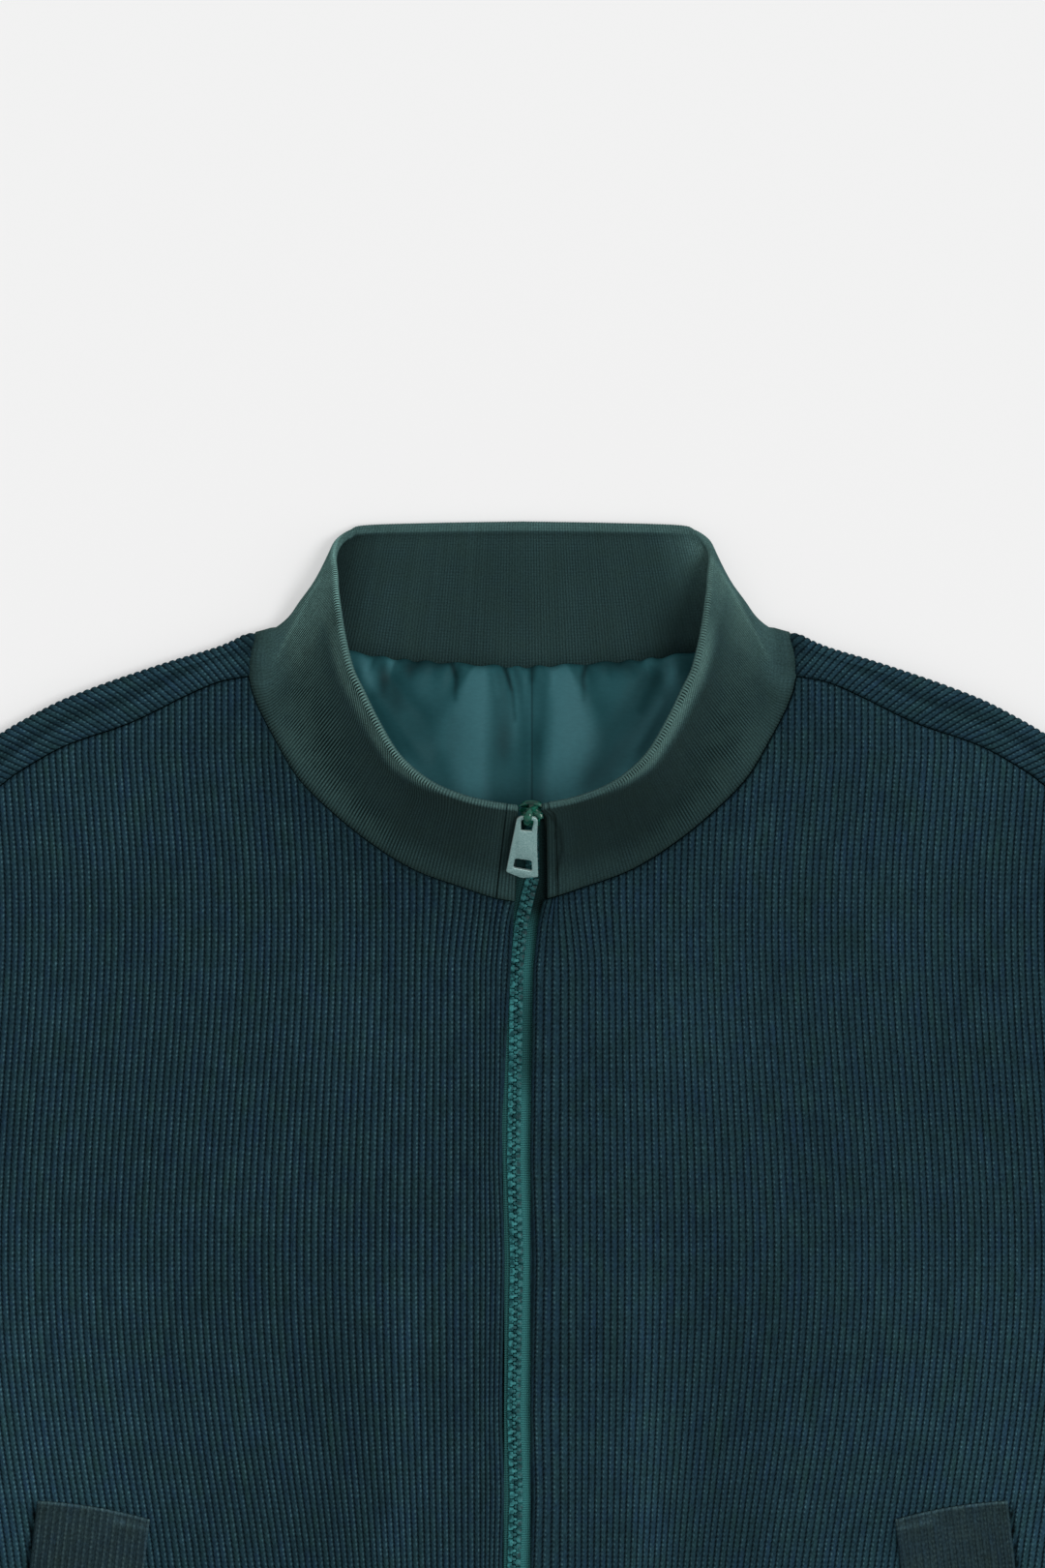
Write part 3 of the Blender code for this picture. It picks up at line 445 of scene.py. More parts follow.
def velvet_finish(name, warm, cool, valley_shade, pale_fibre_and_highlight, dots=1.0):
    """Colour by the place on the cloth: the rib across and the course along."""
    made, shader, add = new_finish(
        name, Roughness=0.95, Specular_IOR_Level=0.03, Sheen_Weight=0.10,
        Sheen_Roughness=0.55, Sheen_Tint=shade("4F8088"))
    across, along, where = cloth_place(add)
    off, depth = rib_shape(add, across, VELVET_SHARP)
    number = add("Math", (across,), operation="FLOOR")
    yarn = add("TexWhiteNoise", {"W": number}, noise_dimensions="1D")
    # from the valley, minus a half to a half; open stitches are slanted dashes along it
    aside = add("Math", (across, 0.5), operation="ADD")
    aside = add("Math", (aside,), operation="FRACT")
    aside = add("Math", (aside, -0.5), operation="ADD")
    wander = add("TexNoise", {"Vector": where, "Scale": 160.0, "Detail": 1.0})
    along = add("Math", (wander, 0.9, along), operation="MULTIPLY_ADD")
    slant = add("Math", (aside, 1.8, along), operation="MULTIPLY_ADD")
    in_valley = add("Math", (off, VELVET_SHARP), operation="POWER")
    dot = add("Math", (wave_along(add, slant, 1.5), in_valley), operation="MULTIPLY")
    # painted highlight: the pale loop on the outer side of each stitch, a quarter of a rib away
    near = add("Math", (aside, -0.24), operation="ADD")
    near = add("Math", (near,), operation="ABSOLUTE")
    near = add("MapRange", (near, 0.21, 0.05, 0.0, 1.0))
    loop = add("Math", (near, wave_along(add, along, 1.4, 2.6)), operation="MULTIPLY")
    patchy = add("TexNoise", {"Vector": where, "Scale": 120.0, "Detail": 4.0})
    patchy = add("MapRange", (patchy, 0.36, 0.68, 0.30, 0.90))
    loop = add("Math", (loop, patchy), operation="MULTIPLY")
    # yarn that goes lighter and darker along each rib, and slow clouds over the panel
    lane = add("CombineXYZ", (number, along))
    streak = add("Mapping", {"Vector": lane, "Scale": (0.73, 0.12, 1.0)})
    streak = add("TexNoise", {"Vector": streak, "Scale": 1.0, "Detail": 3.0})
    tint = add("Mapping", {"Vector": lane, "Scale": (0.31, 0.10, 1.0)})
    tint = add("TexNoise", {"Vector": tint, "Scale": 1.0, "Detail": 4.0, "Roughness": 0.65})
    cloud = add("TexNoise", {"Vector": where, "Scale": 22.0, "Detail": 3.0})
    fibre = add("TexNoise", {"Vector": where, "Scale": 1500.0, "Detail": 1.5, "Roughness": 0.6})
    tuft = add("TexNoise", {"Vector": where, "Scale": 760.0, "Detail": 1.0})
    # strands of pile, half a millimetre wide and two to three long, run along the rib
    lie = add("CombineXYZ", (across, along))
    lie = add("Mapping", {"Vector": lie, "Scale": (5.5, 1.1, 1.0)})
    strand = add("TexNoise", {"Vector": lie, "Scale": 1.0, "Detail": 3.0, "Roughness": 0.6})
    speck = add("MapRange", (fibre, 0.60, 0.85, 0.0, 0.15))
    light = add("Math", (loop, dots), operation="MULTIPLY")
    light = add("Math", (light, speck), operation="MAXIMUM")
    # how light the pile is: every pattern's factor, and the tone that the mesh carries,
    # partly painted light and shade
    level = add("MapRange", (streak, 0.3, 0.7, 0.86, 1.14))
    level = layered(add, level, (cloud, 0.92, 1.08), (tuft, 0.82, 1.18), (strand, 0.70, 1.30))
    tone = add("Attribute", out="Fac", attribute_name="tone")
    level = add("Math", (level, tone), operation="MULTIPLY")
    hue = add("MapRange", (tint, 0.33, 0.67, 0.06, 0.82))
    hue = add("Math", (yarn, 0.12, hue), operation="MULTIPLY_ADD")
    dyed = add("Mix", {0: hue, 6: shade(warm), 7: shade(cool)}, 2, data_type="RGBA")
    lit = add("Mix", {0: light, 6: dyed, 7: shade(pale_fibre_and_highlight)}, 2, data_type="RGBA")
    deep = add("Mix", {0: depth, 6: lit, 7: shade(valley_shade)}, 2, data_type="RGBA")
    toned = add("VectorMath", {0: deep, 3: level}, operation="SCALE")
    hole = add("Math", (dot, dots), operation="MULTIPLY")
    stitched = add("Mix", {0: hole, 6: toned, 7: shade("020507")}, 2, data_type="RGBA")
    height = relief(add, depth, (dot, -0.7 * dots), (loop, 0.5 * dots), (fibre, 0.6), (tuft, 0.7))
    dress(shader, stitched, height, 0.0006, 0.9)
    return made


VELVET = velvet_finish("chenille_velvet", "1C3436", "1A2F3F", "0D1A22", "44666E")

# %% [markdown]
# ## Rib knit
# Collar, cuffs and hem are a fine rib knit, 1.3 to 1.6 mm from rib to rib, in a matt
# green-grey yarn. It is made like the velvet but smoother. Where the knit is bent or
# stretched its ribs stand apart and their valleys fall into shade, painted dark here, and where
# it lies slack they close up and hardly show, so the mesh says at each point how deep the grooves
# look.

# %% The rib knit finish
KNIT_FACE, KNIT_VALLEY_SHADE, KNIT_SHARP = "243735", "0A1716", 1.4


def knit_finish(name, face, face_cool, lit, valley_shade):
    """Colour by rib and course. The tone that the mesh carries is painted light and shade on
    the rib, and the valley is painted dark, as shade."""
    made, shader, add = new_finish(
        name, Roughness=0.9, Specular_IOR_Level=0.04, Sheen_Weight=0.12,
        Sheen_Roughness=0.5, Sheen_Tint=shade("7FA59A"))
    across, along, where = cloth_place(add)
    depth = rib_shape(add, across, KNIT_SHARP)[1]
    cloud = add("TexNoise", {"Vector": where, "Scale": 26.0, "Detail": 3.0})
    patch = add("TexNoise", {"Vector": where, "Scale": 130.0, "Detail": 2.0})
    fibre = add("TexNoise", {"Vector": where, "Scale": 1500.0, "Detail": 1.0})
    # courses show in patches, where the stitches are a little open
    seed = add("Math", (wave_along(add, along), -0.5), operation="ADD")
    open_here = add("MapRange", (patch, 0.42, 0.62, 0.0, 1.0))
    seed = add("Math", (seed, open_here), operation="MULTIPLY")
    seed = add("Math", (seed, 0.24, 1.0), operation="MULTIPLY_ADD")
    dyed = add("Mix", {0: patch, 6: shade(face), 7: shade(face_cool)}, 2, data_type="RGBA")
    tone = add("Attribute", out="Fac", attribute_name="tone")
    # a painted highlight: where the tone is high, the dye goes towards the lit colour
    highlight_mix = add("MapRange", (tone, 1.4, 4.2, 0.0, 1.0))
    dyed = add("Mix", {0: highlight_mix, 6: dyed, 7: shade(lit)}, 2, data_type="RGBA")
    # every rib is knitted from its own yarn, a little lighter or darker
    number = add("Math", (across, 0.5), operation="ADD")
    number = add("Math", (number,), operation="FLOOR")
    yarn = add("TexWhiteNoise", {"W": number}, noise_dimensions="1D")
    yarn = add("MapRange", (yarn, 0.0, 1.0, 0.95, 1.05))
    level = add("Math", (tone, seed), operation="MULTIPLY")
    level = add("Math", (level, yarn), operation="MULTIPLY")
    level = layered(add, level, (cloud, 0.92, 1.08), (fibre, 0.78, 1.22), (patch, 0.94, 1.06))
    toned = add("VectorMath", {0: dyed, 3: level}, operation="SCALE")
    slack = add("MapRange", (patch, 0.35, 0.65, 0.8, 1.2))
    depth = add("Math", (depth, slack), operation="MULTIPLY")
    deep = add("Mix", {0: depth, 6: toned, 7: shade(valley_shade)}, 2, data_type="RGBA")
    dress(shader, deep, relief(add, depth, (seed, 0.5), (fibre, 0.5)), 0.0004, 0.8)
    return made


KNIT = knit_finish("rib_knit", KNIT_FACE, "223538", "273836", KNIT_VALLEY_SHADE)

# %% [markdown]
# ## Light that a rib takes
# The collar was measured as a whole, rib and valley together. Where the grooves are deep
# the valleys take light away, so the ribs between them have to be lighter to keep the
# same mean.

# %% The tone of the ribs
# Mean over a rib of the distance from its crest to the power of the knit's sharpness
VALLEY_SHARE = 0.417


def even_tone(wanted, groove):
    """Tone of the ribs that keeps the mean of rib and valley at the wanted light. The depth
    of a valley is the groove times the distance from the crest to a power, held at one,
    and its mean over a rib is the share of the valley's colour."""
    face, valley_shade = shade(KNIT_FACE)[1], shade(KNIT_VALLEY_SHADE)[1]
    flat = np.maximum(groove, 1.0) ** (-1 / KNIT_SHARP)
    share = np.where(groove <= 1, VALLEY_SHARE * groove,
                     VALLEY_SHARE * groove * flat ** (KNIT_SHARP + 1) + 1 - flat)
    mean = wanted * ((1 - VALLEY_SHARE) * face + VALLEY_SHARE * valley_shade)
    return np.maximum(mean - share * valley_shade, 0.02 * face) / (face * (1 - share))


print("a slack rib of tone 1 keeps tone", round(float(even_tone(1.0, np.array(1.0))), 2))

# %% [markdown]
# ## The collar
# The collar is one band of doubled rib knit that stands up from the neck seam, folds
# softly at each side of the neck and lies back flat behind. Each rib is a line from the
# seam to the top edge. The wall is worked out as a surface of two numbers, the share of
# the way round the neck and the height up the wall, and then given a thickness with a
# round top edge.

# %% The collar's surface
COLLAR_WAIST, COLLAR_SWELL = 6.6, 0.8
FOLD_LEAN = np.array([-0.755, 0.653])


def rib_lean(share, side):
    """How much nearer the front a rib ends than it starts, as a share: a bell at the side
    of the neck, and at the front the left end leans in and the right end leans out."""
    ends = np.where(side < 0, 0.010, -0.006)
    front = rise(share / 0.03) * (1 - rise((share - 0.055) / 0.11))
    return 0.029 * hill(share, 0.27, 0.15) * rise(share / 0.08) + ends * front


def collar_wall(share, up, side=-1.0):
    """Middle of the wall. It goes from seam to edge, in plan first and then upwards at
    the front, evenly at the back, and is drawn in by a bell where it folds."""
    share, up = np.broadcast_arrays(np.asarray(share, float), np.asarray(up, float))
    base = read_line(NECK_SEAM, share)
    top = read_line(COLLAR_EDGE, share - rib_lean(share, side))
    front = 1 - rise((share - 0.5) / 0.16)
    reach = front * (1 - np.maximum(1 - up, 0) ** 1.35) + (1 - front) * up
    height = front * np.maximum(up, 0) ** 1.25 + (1 - front) * up
    plan = base[..., :2] + (top[..., :2] - base[..., :2]) * reach[..., None]
    waist = COLLAR_WAIST * hill(share, 0.572, 0.087) * rise(reach / 0.12) * hill(reach, 0.25, 0.447)
    waist = waist - COLLAR_SWELL * hill(share, 0.66, 0.09) * hill(reach, 0.5, 0.138)
    plan = plan + waist[..., None] * FOLD_LEAN
    z = base[..., 2] + (top[..., 2] - base[..., 2]) * height
    return np.concatenate([plan, z[..., None]], axis=-1)


def collar_ways(share, up, side=-1.0):
    """Unit directions out of the wall and up it, from differences of the surface."""
    step = 0.004
    share, up = np.broadcast_arrays(np.asarray(share, float), np.asarray(up, float))
    before = collar_wall(np.maximum(share - step, 0), up, side)
    after = collar_wall(np.minimum(share + step, 1), up, side)
    before = np.where((share < step)[..., None], after * np.array([-1, 1, 1]), before)
    climb = (collar_wall(share, np.minimum(up + step, 1), side)
             - collar_wall(share, np.maximum(up - step, 0), side))
    return unit(np.cross(climb, after - before)), unit(climb)


COLLAR_LENGTH = float(np.linalg.norm(np.diff(NECK_SEAM, axis=0), axis=1).sum())
print("the collar is", round(2 * COLLAR_LENGTH), "mm round the neck and stands",
      round(float(collar_wall(1.0, 0.0)[1] - collar_wall(1.0, 1.0)[1])), "mm high behind")

# %% [markdown]
# ## Ribs of the collar
# A band of knit is stretched most where it turns, so its ribs lie further apart in front
# than behind. The ribs are counted from centre front, and their count gives the columns
# of the mesh, the same number to every rib.

# %% Counting the ribs
SHARES = np.linspace(0, 1, 1001)
# Their pitch at the seam goes from 1.58 down to 1.30 mm
RIB_PITCH = np.interp(SHARES, [0, 0.10, 0.22, 0.35, 0.6, 1], [1.58, 1.52, 1.40, 1.35, 1.33, 1.30])
RIB_COUNT = np.concatenate([[0], np.cumsum(COLLAR_LENGTH / RIB_PITCH[:-1] * np.diff(SHARES))])
COLLAR_RIBS = float(RIB_COUNT[-1])


def crown_bend(share, up):
    """The roll at the top pulls each rib towards the back: it moves on by up to a
    fiftieth of the collar over the last third of its height."""
    wide = rise((share - 0.10) / 0.12) * (1 - rise((share - 0.55) / 0.15))
    return 0.020 * wide * rise((up - 0.66) / 0.34)


def rib_columns(near, far, per_rib):
    """Shares from one to the other with the same number of columns to every rib."""
    first, last = np.interp([near, far], SHARES, RIB_COUNT)
    counts = np.linspace(first, last, int(abs(last - first) * per_rib) + 1)
    return np.interp(counts, RIB_COUNT, SHARES)


print("half the collar has", round(COLLAR_RIBS), "ribs")

# %% [markdown]
# ## How light the knit lies
# Light on knit depends on how it is bent: the roll at the top and the crease beside the
# shoulder are pale, the inside of the stand is in shade. A path tracer finds most of that
# by itself, and the rest is painted: each point of the mesh carries a tone, painted light and
# shade, and a depth of groove, which also sets how dark its valleys are painted, each a
# product of a few soft steps and bells.

# %% Tone and groove of the collar
def roll_start(share):
    """How far up the wall the roll begins, which is painted lighter as a highlight: at the
    very edge in front, lower down at the side of the neck, where the collar leans out."""
    return np.interp(share, [0.0, 0.12, 0.17, 0.22, 0.27, 0.5],
                     [0.97, 0.93, 0.88, 0.81, 0.745, 0.725])


def crease_share(up):
    """Where the crease beside the shoulder, painted pale as a highlight, runs: its share,
    by height up the wall.
    """
    return np.interp(up, [0.12, 0.18, 0.28, 0.48, 0.68, 0.80, 0.97],
                     [0.545, 0.562, 0.580, 0.588, 0.603, 0.608, 0.615])


def collar_tone(share, up, angle, side=-1.0):
    """Mean light of the knit, painted as light and shade. Outside: darkest in front, lighter
    to the side of the neck, with a lighter foot along the seam, a painted highlight on the
    crease beside the shoulder, and a light roll and round top painted as highlights. Inside:
    even, a painted shade beside the fold on the left and painted light there on the right,
    where the lamp's shadow falls, and lighter near the edge."""
    middle = np.interp(share, [0, 0.05, 0.09, 0.2, 0.3, 0.4, 0.5, 0.55, 0.6, 0.72],
                       [1.24, 1.16, 0.96, 0.94, 1.24, 1.55, 2.10, 2.75, 3.3, 3.4])
    foot = (1 - rise((up - 0.10) / 0.22)) * (1 - rise((share - 0.40) / 0.10))
    outer = middle * (1 + 0.48 * foot)
    roll = rise((up - roll_start(share)) / 0.16) * (1 - rise((share - 0.45) / 0.1))
    outer = outer + (4.1 - outer) * roll * rise((share - 0.10) / 0.12)
    inner = 1.25 + 0.33 * rise((share - 0.5) / 0.2)
    shaded = np.where(side > 0, 0.02, 0.50)
    inner = inner * (1 - shaded * (1 - rise((share - 0.69) / 0.09)))
    inner = inner * (1 + np.where(side > 0, 2.4, 0.0) * hill(share, 0.665, 0.062))
    inner = inner * (1 + 0.05 * rise((up - 0.70) / 0.2) - 0.22 * rise((up - 0.87) / 0.04))
    rim = rise((up - 0.923) / 0.022) * rise((share - np.where(side > 0, 0.60, 0.635)) / 0.02)
    inner = inner + (3.7 - inner) * rim
    back = rise((share - 0.66) / 0.08)
    crown = np.sin(np.clip(angle, 0, math.pi)) * (angle > 0)
    top = 4.8 - 1.0 * (1 - rise((share - 0.16) / 0.12)) - 1.0 * back
    ridge = hill(share, crease_share(up), 0.0055) * rise((up - 0.10) / 0.12)
    ridge = ridge * (1 - rise((up - 0.7) / 0.2))
    outer = outer * (1 + 0.40 * ridge)
    tone = np.where(angle < 1.6, outer, inner)
    return tone + (top - tone) * np.clip(crown * 1.15, 0, 1)


def collar_groove(share, up, angle):
    """How deep the grooves look: strong in a band from the seam below the neck to the
    side and along the roll, weak in front, almost gone beside the shoulder and behind."""
    groove = 0.62 - 0.15 * hill(up, 0.5, 0.2) * (1 - rise((share - 0.28) / 0.1))
    groove = groove + 0.75 * hill(share, 0.27, 0.09) * hill(up, 0.2, 0.13)
    band = 0.36 + 1.2 * np.maximum(share - 0.42, 0)
    groove = groove + 1.15 * rise((share - 0.28) / 0.10) * hill(up, band, 0.21)
    groove = groove + 0.80 * rise((up - roll_start(share)) / 0.10) * rise((share - 0.13) / 0.1)
    calm = rise((share - 0.49) / 0.06) * (1 - rise((up - 0.10) / 0.14))
    behind = rise((share - crease_share(up) + 0.012) / 0.03)
    groove = groove * (1 - 0.85 * calm) * (1 - 0.72 * behind)
    inner = 0.42 - 0.14 * rise((up - 0.8) / 0.15)
    return np.where(angle < 1.6, groove, inner)


print("tone in front, half way up", round(float(collar_tone(0.0, 0.5, 0.0)), 2),
      "and behind the neck", round(float(collar_tone(1.0, 0.5, math.pi)), 2))

# %% [markdown]
# ## Thickness of the collar
# The surface so far is the middle of the wall. The band is two layers of knit with a soft
# fold at the top, so its section goes up the outer face, over half a circle and down the
# inner face. More rows lie where the tone changes fast, just inside the edge.

# %% The collar's section
RELIEF_FROM, EDGE_ROWS = 0.35, (1, 0.985, 0.970, 0.957, 0.943, 0.91)
# The wall's height in mm, and its courses up a face and over the fold
COLLAR_TALL, FACE_COURSES, FOLD_COURSES = 60.0, 46.0, 1.2


def lamp_share(up, start, angle, side):
    """Painted light on the outer face, against what the lamp adds or takes: less on the right
    but for a band near the seam, with a painted shade on the crease there, more on the left
    towards the shoulder and the top."""
    crease = np.interp(up, [0.1, 0.2, 0.42, 0.65, 0.8, 0.95],
                       [0.046, 0.050, 0.061, 0.058, 0.046, 0.040])
    creased = 1 - 0.45 * (side > 0) * hill(start, crease, 0.0045) * rise((up - 0.08) / 0.15)
    lamp = np.interp(start, [0, 0.1, 0.3, 0.5, 0.6, 0.7], [0.85, 0.83, 0.73, 0.73, 0.85, 1.0])
    foot = (1 - rise((up - 0.06) / 0.10)) * rise((start - 0.53) / 0.03)
    band = hill(up, 0.2, 0.12) * rise((start - 0.5) / 0.04)
    right = lamp * (1 + 0.12 * band - 0.25 * foot)
    left = 1 + 0.45 * rise((up - 0.15) / 0.3) * rise((start - 0.47) / 0.08) - 0.15 * foot
    left = left + 0.40 * rise((start - 0.595) / 0.03) * rise((up - 0.55) / 0.2)
    return creased * np.where(angle < 1.6, np.where(side > 0, right, left), 1.0)


def edge_shade(start):
    """A thin shade where a piece begins beside another: a decay from its first column, and
    on a short piece from its last one too."""
    nearest = (start - start.min()) * COLLAR_LENGTH
    if start.max() < 0.2:
        nearest = np.minimum(nearest, (start.max() - start) * COLLAR_LENGTH)
    return 1 - 0.8 * np.exp(-nearest / 0.35)


def collar_section(shares, wall, relief_high, side, corner=0.0):
    """Rows of the section: up the outer face, over the round edge, down the inner face.
    Each point is the wall's middle plus half the thickness and the rib's height. A corner
    lowers the top at the first column, as a quarter circle. On the right, the top of the
    first ribs is drawn towards the zip."""
    tip = 0.972
    rows = [(u, 0.0) for u in tip * np.linspace(0, 1, 20) ** 0.9]
    rows += [(tip, t) for t in np.linspace(0, math.pi, 8)[1:-1]]
    rows += [(tip * u, math.pi) for u in EDGE_ROWS]
    rows += [(u, math.pi) for u in tip * np.linspace(0.88, 0, 7)]
    up, angle = (column[:, None] for column in np.array(rows).T)
    start = np.asarray(shares)[None, :]
    rounded = 1 - np.clip((start - start.min()) * COLLAR_LENGTH / 3.4, 0, 1)
    up = up * (1 - corner * (1 - np.sqrt(1 - rounded ** 2)))
    pull = np.where(side > 0, 0.013, 0.0) * (1 - rise((start - 0.045) / 0.05))
    share = start + crown_bend(start, up) - pull * rise((up - 0.80) / 0.20)
    out, climb = collar_ways(share, up, side)
    base_flat = (rise((0.10 - up) / 0.10) * rise((0.5 - share) / 0.1))[..., None]
    out = unit(out * (1 - base_flat) + base_flat * np.array([0, 0, 1.0]))
    phase = np.interp(start, SHARES, RIB_COUNT)
    groove = collar_groove(start, up, angle) * np.ones_like(share)
    push = wall / 2 - turned_edge(up * COLLAR_TALL, 1.4) * (angle < 1)
    push = push + relief_high * np.clip(RELIEF_FROM + groove, 0, 1.3) * (rib_form(phase, 2.2) - 1)
    away = out * np.cos(angle)[..., None] + climb * np.sin(angle)[..., None]
    points = collar_wall(share, up, side) + away * push[..., None]
    courses = up * FACE_COURSES + angle * FOLD_COURSES
    cloth = np.stack(np.broadcast_arrays(phase, courses), axis=-1)
    lit = lamp_share(up, start, angle, side) * edge_shade(start)
    tone = even_tone(collar_tone(share, up, angle, side) * lit, groove)
    return laid(points, side), cloth, {"tone": tone, "groove": groove}


print("the collar's wall is", KNIT_WALL, "mm thick, with", len(EDGE_ROWS), "close rows inside it")

# %% [markdown]
# ## Making the collar
# The band is one piece from one side of the zip round to the other. Beside the zip a
# narrow facing of the same knit is turned in on each side, and the zip lies in between.

# %% The collar and its facings
# Distances from centre front at which the facings begin and end, and the cloth that goes
# round a facing's two edges
LEFT_FACING, RIGHT_FACING, FACING_TURN = (3.0, 10.9), (10.4, 15.0), 5.9
FACING_GAP = 0.2

left = rib_columns((LEFT_FACING[1] + FACING_GAP) / COLLAR_LENGTH, 1, 5)
right = rib_columns((RIGHT_FACING[1] + FACING_GAP) / COLLAR_LENGTH, 1, 5)[-2::-1]
half = np.concatenate([-np.ones(len(left)), np.ones(len(right))])
grid, cloth, marks = collar_section(np.concatenate([left, right]), KNIT_WALL, 0.45, half)
cloth[:, len(left):, 0] = 2 * COLLAR_RIBS - cloth[:, len(left):, 0]
collar = cloth_piece("rib_collar", grid, cloth, KNIT, **marks)
stand_in(collar, "rib_knit", "collar")

for (title, side), (near, far) in zip(SIDES, (LEFT_FACING, RIGHT_FACING)):
    shares = rib_columns(near / COLLAR_LENGTH, far / COLLAR_LENGTH, 8)
    grid, cloth, marks = collar_section(shares, 3.0, 0.36, side, corner=0.07)
    facing = cloth_piece("collar_facing_" + title, grid, cloth, KNIT, **marks)
    stand_in(facing, "rib_knit", "collar_end_" + title)

# %% [markdown]
# ## The fronts
# Each front is cut with its ribs upright and turned in along the neck, the shoulder seam,
# the armhole and the zip. The ribs are in the mesh, six points to a rib, because a bump
# would stay flat at the shoulder and at the neck, where the light comes in low. Near the
# zip the ribs are drawn in where the neck seam was gathered on to the collar.

# %% Height of the fronts
def distance_to_neck(x, drop):
    """Least distance in plan to the neck seam, over a few dozen points of the seam."""
    seam = NECK_FRONT[::14]
    gap = np.full(np.broadcast(x, drop).shape, 1e9)
    for at_x, at_drop, _ in seam:
        gap = np.minimum(gap, (np.abs(x) - at_x) ** 2 + (drop - at_drop) ** 2)
    return np.sqrt(gap)


def under_front(x, drop):
    """Underside of a front: flat, lower at the side seam, lifted by the collar, with
    shallow lengthwise waves that die away at the seams."""
    side = rise((CHEST_HALF - np.abs(x)) / 11)
    lift = 3.0 * np.exp(-distance_to_neck(x, drop) / 22.0) * (1 - rise((np.abs(x) - 85) / 25))
    fade = rise((drop - 120) / 90) * rise((BODY_BOTTOM - drop) / 80) * rise((272 - np.abs(x)) / 30)
    waves = 0.3 * fade * (1 + np.sin(np.abs(x) / 15.0 + 0.5 * np.sin(drop / 90.0)))
    return SIDE_UNDER + (FRONT_UNDER - SIDE_UNDER) * side + lift + waves


print("a front's underside lies", round(float(under_front(150.0, 60.0)), 1), "mm up at the shoulder")

# %% [markdown]
# ## Light and shade painted on the fronts
# The fronts' tone is partly painted light and shade: darker by the collar, a painted shade
# where its stand keeps light off the velvet; a pale band 50 mm out, a painted highlight on a
# slight ridge; lighter along the shoulder and towards the sides. The tone goes into the mesh,
# because the bands follow the garment and not a noise. The slit of each pocket is a painted
# shadow, a dark line beside its welt.

# %% Tone and outline of the fronts
WELT_X, WELT_DROP = 200.5, 358.5
WELT_WIDTH, WELT_LENGTH, WELT_LEAN, WELT_SLOPE, WELT_WALL = 46.5, 165.0, 0.115, 0.155, 1.6


def front_tone(x, drop):
    """How light the velvet is, partly painted light and shade: darker by the collar, a painted
    shade of its stand, and 80 mm out, lighter 50 mm out, a painted highlight on a ridge, and
    along the shoulder and towards the sides."""
    wide = np.abs(x)
    lower = rise((drop - 190) / 120)
    tone = 1 + 0.12 * rise((wide - 120) / 90) * lower
    tone = tone - 0.06 * hill(wide, 82, 22) * lower + 0.08 * hill(wide, 50, 6.5) * lower
    tone = tone + 0.03 * rise(x / 60) + 0.03 * rise((drop - 290) / 60)
    tone = tone - 0.09 * np.exp(-distance_to_neck(x, drop) / 9.0)
    tone = tone + 0.05 * hill(wide, 75, 30) * hill(drop, 165, 24)
    tone = tone + 0.07 * rise((wide - 120) / 60) * np.exp(-np.maximum(drop - 60, 0) / 40)
    # the pocket's mouth: a painted shadow, a dark line in the slit beside the outer edge of the welt
    down = drop - WELT_DROP
    slit_shadow = hill(wide, WELT_X + WELT_LEAN * down + 0.9, 0.75) * rise((down + 1) / 5)
    slit_shadow = slit_shadow * (down < WELT_LENGTH)
    tone = tone * (1 - 0.85 * slit_shadow)
    return np.maximum(tone, 0.05) ** 2.2


def front_top(x):
    """Drop of a front's upper edge: neck seam, shoulder seam, then armhole."""
    neck = np.maximum(drop_on(NECK_EDGE, x), drop_on(SHOULDER_SEAM, x))
    arm = np.maximum(armhole_drop(x), SHOULDER_SEAM[-1, 1])
    return np.where(x < SHOULDER_FOLD[0, 0], neck,
                    np.where(x < SHOULDER_X, drop_on(SHOULDER_SEAM, x), arm))


print("tone 100 mm out, in the middle of the chest", round(float(front_tone(100.0, 250.0)), 2))

# %% [markdown]
# ## How the ribs run
# Cut upright, the ribs still bow where the cloth is pulled: out at the chest and in above
# the pockets. Beside the zip they are drawn together at the neck seam. Each rib is a
# column of the mesh, so a sideways shift of the columns bends the ribs.

# %% The way of a rib
PER_RIB = 6
# Degrees that a rib leans outwards, by drop
LEAN_DROP = np.arange(50.0, 601.0, 2.0)
LEAN = np.interp(
    LEAN_DROP,
    [50, 86, 106, 130, 150, 174, 202, 234, 266, 298, 330, 354, 380, 420, 470, 540, 600],
    [-4.5, -4.8, -1.8, 1.4, 3.2, 4.5, 4.2, 2.8, -0.9, -5.4, -8.0, -9.5, -8.0, -1.5, 3.0, 3.0, 2.0])
BOW = np.cumsum(np.tan(np.radians(LEAN))) * 2.0
BOW -= BOW[LEAN_DROP < 190].mean()
GATHER = 3.4


def rib_way(start, drop, top=0.0):
    """Sideways shift of a rib: the bow, which fades at the zip, at the side seam and where
    a rib starts from the armhole, and the gathers at the neck, a bell that closes the ribs
    up towards the zip at the seam."""
    bow = np.interp(drop, LEAN_DROP, BOW)
    wide = rise((start - 10) / 110) * (1 - rise((start - 215) / 70))
    wide = wide * (1 - rise((start - 215) / 25) * (1 - rise((drop - top) / 30)))
    gather = GATHER * hill(start, 25, 16) * (1 - rise((drop - 100) / 42)) * rise((start - 8) / 8)
    return bow * wide - gather


print("the ribs bow by", round(float(BOW.max() - BOW.min()), 1), "mm")

# %% [markdown]
# ## Pulls beside the zip
# Where the neck seam meets the zip, the front is pulled into short creases. Each is a
# ridge along a line between two points, drawn where the stitching would hold it.

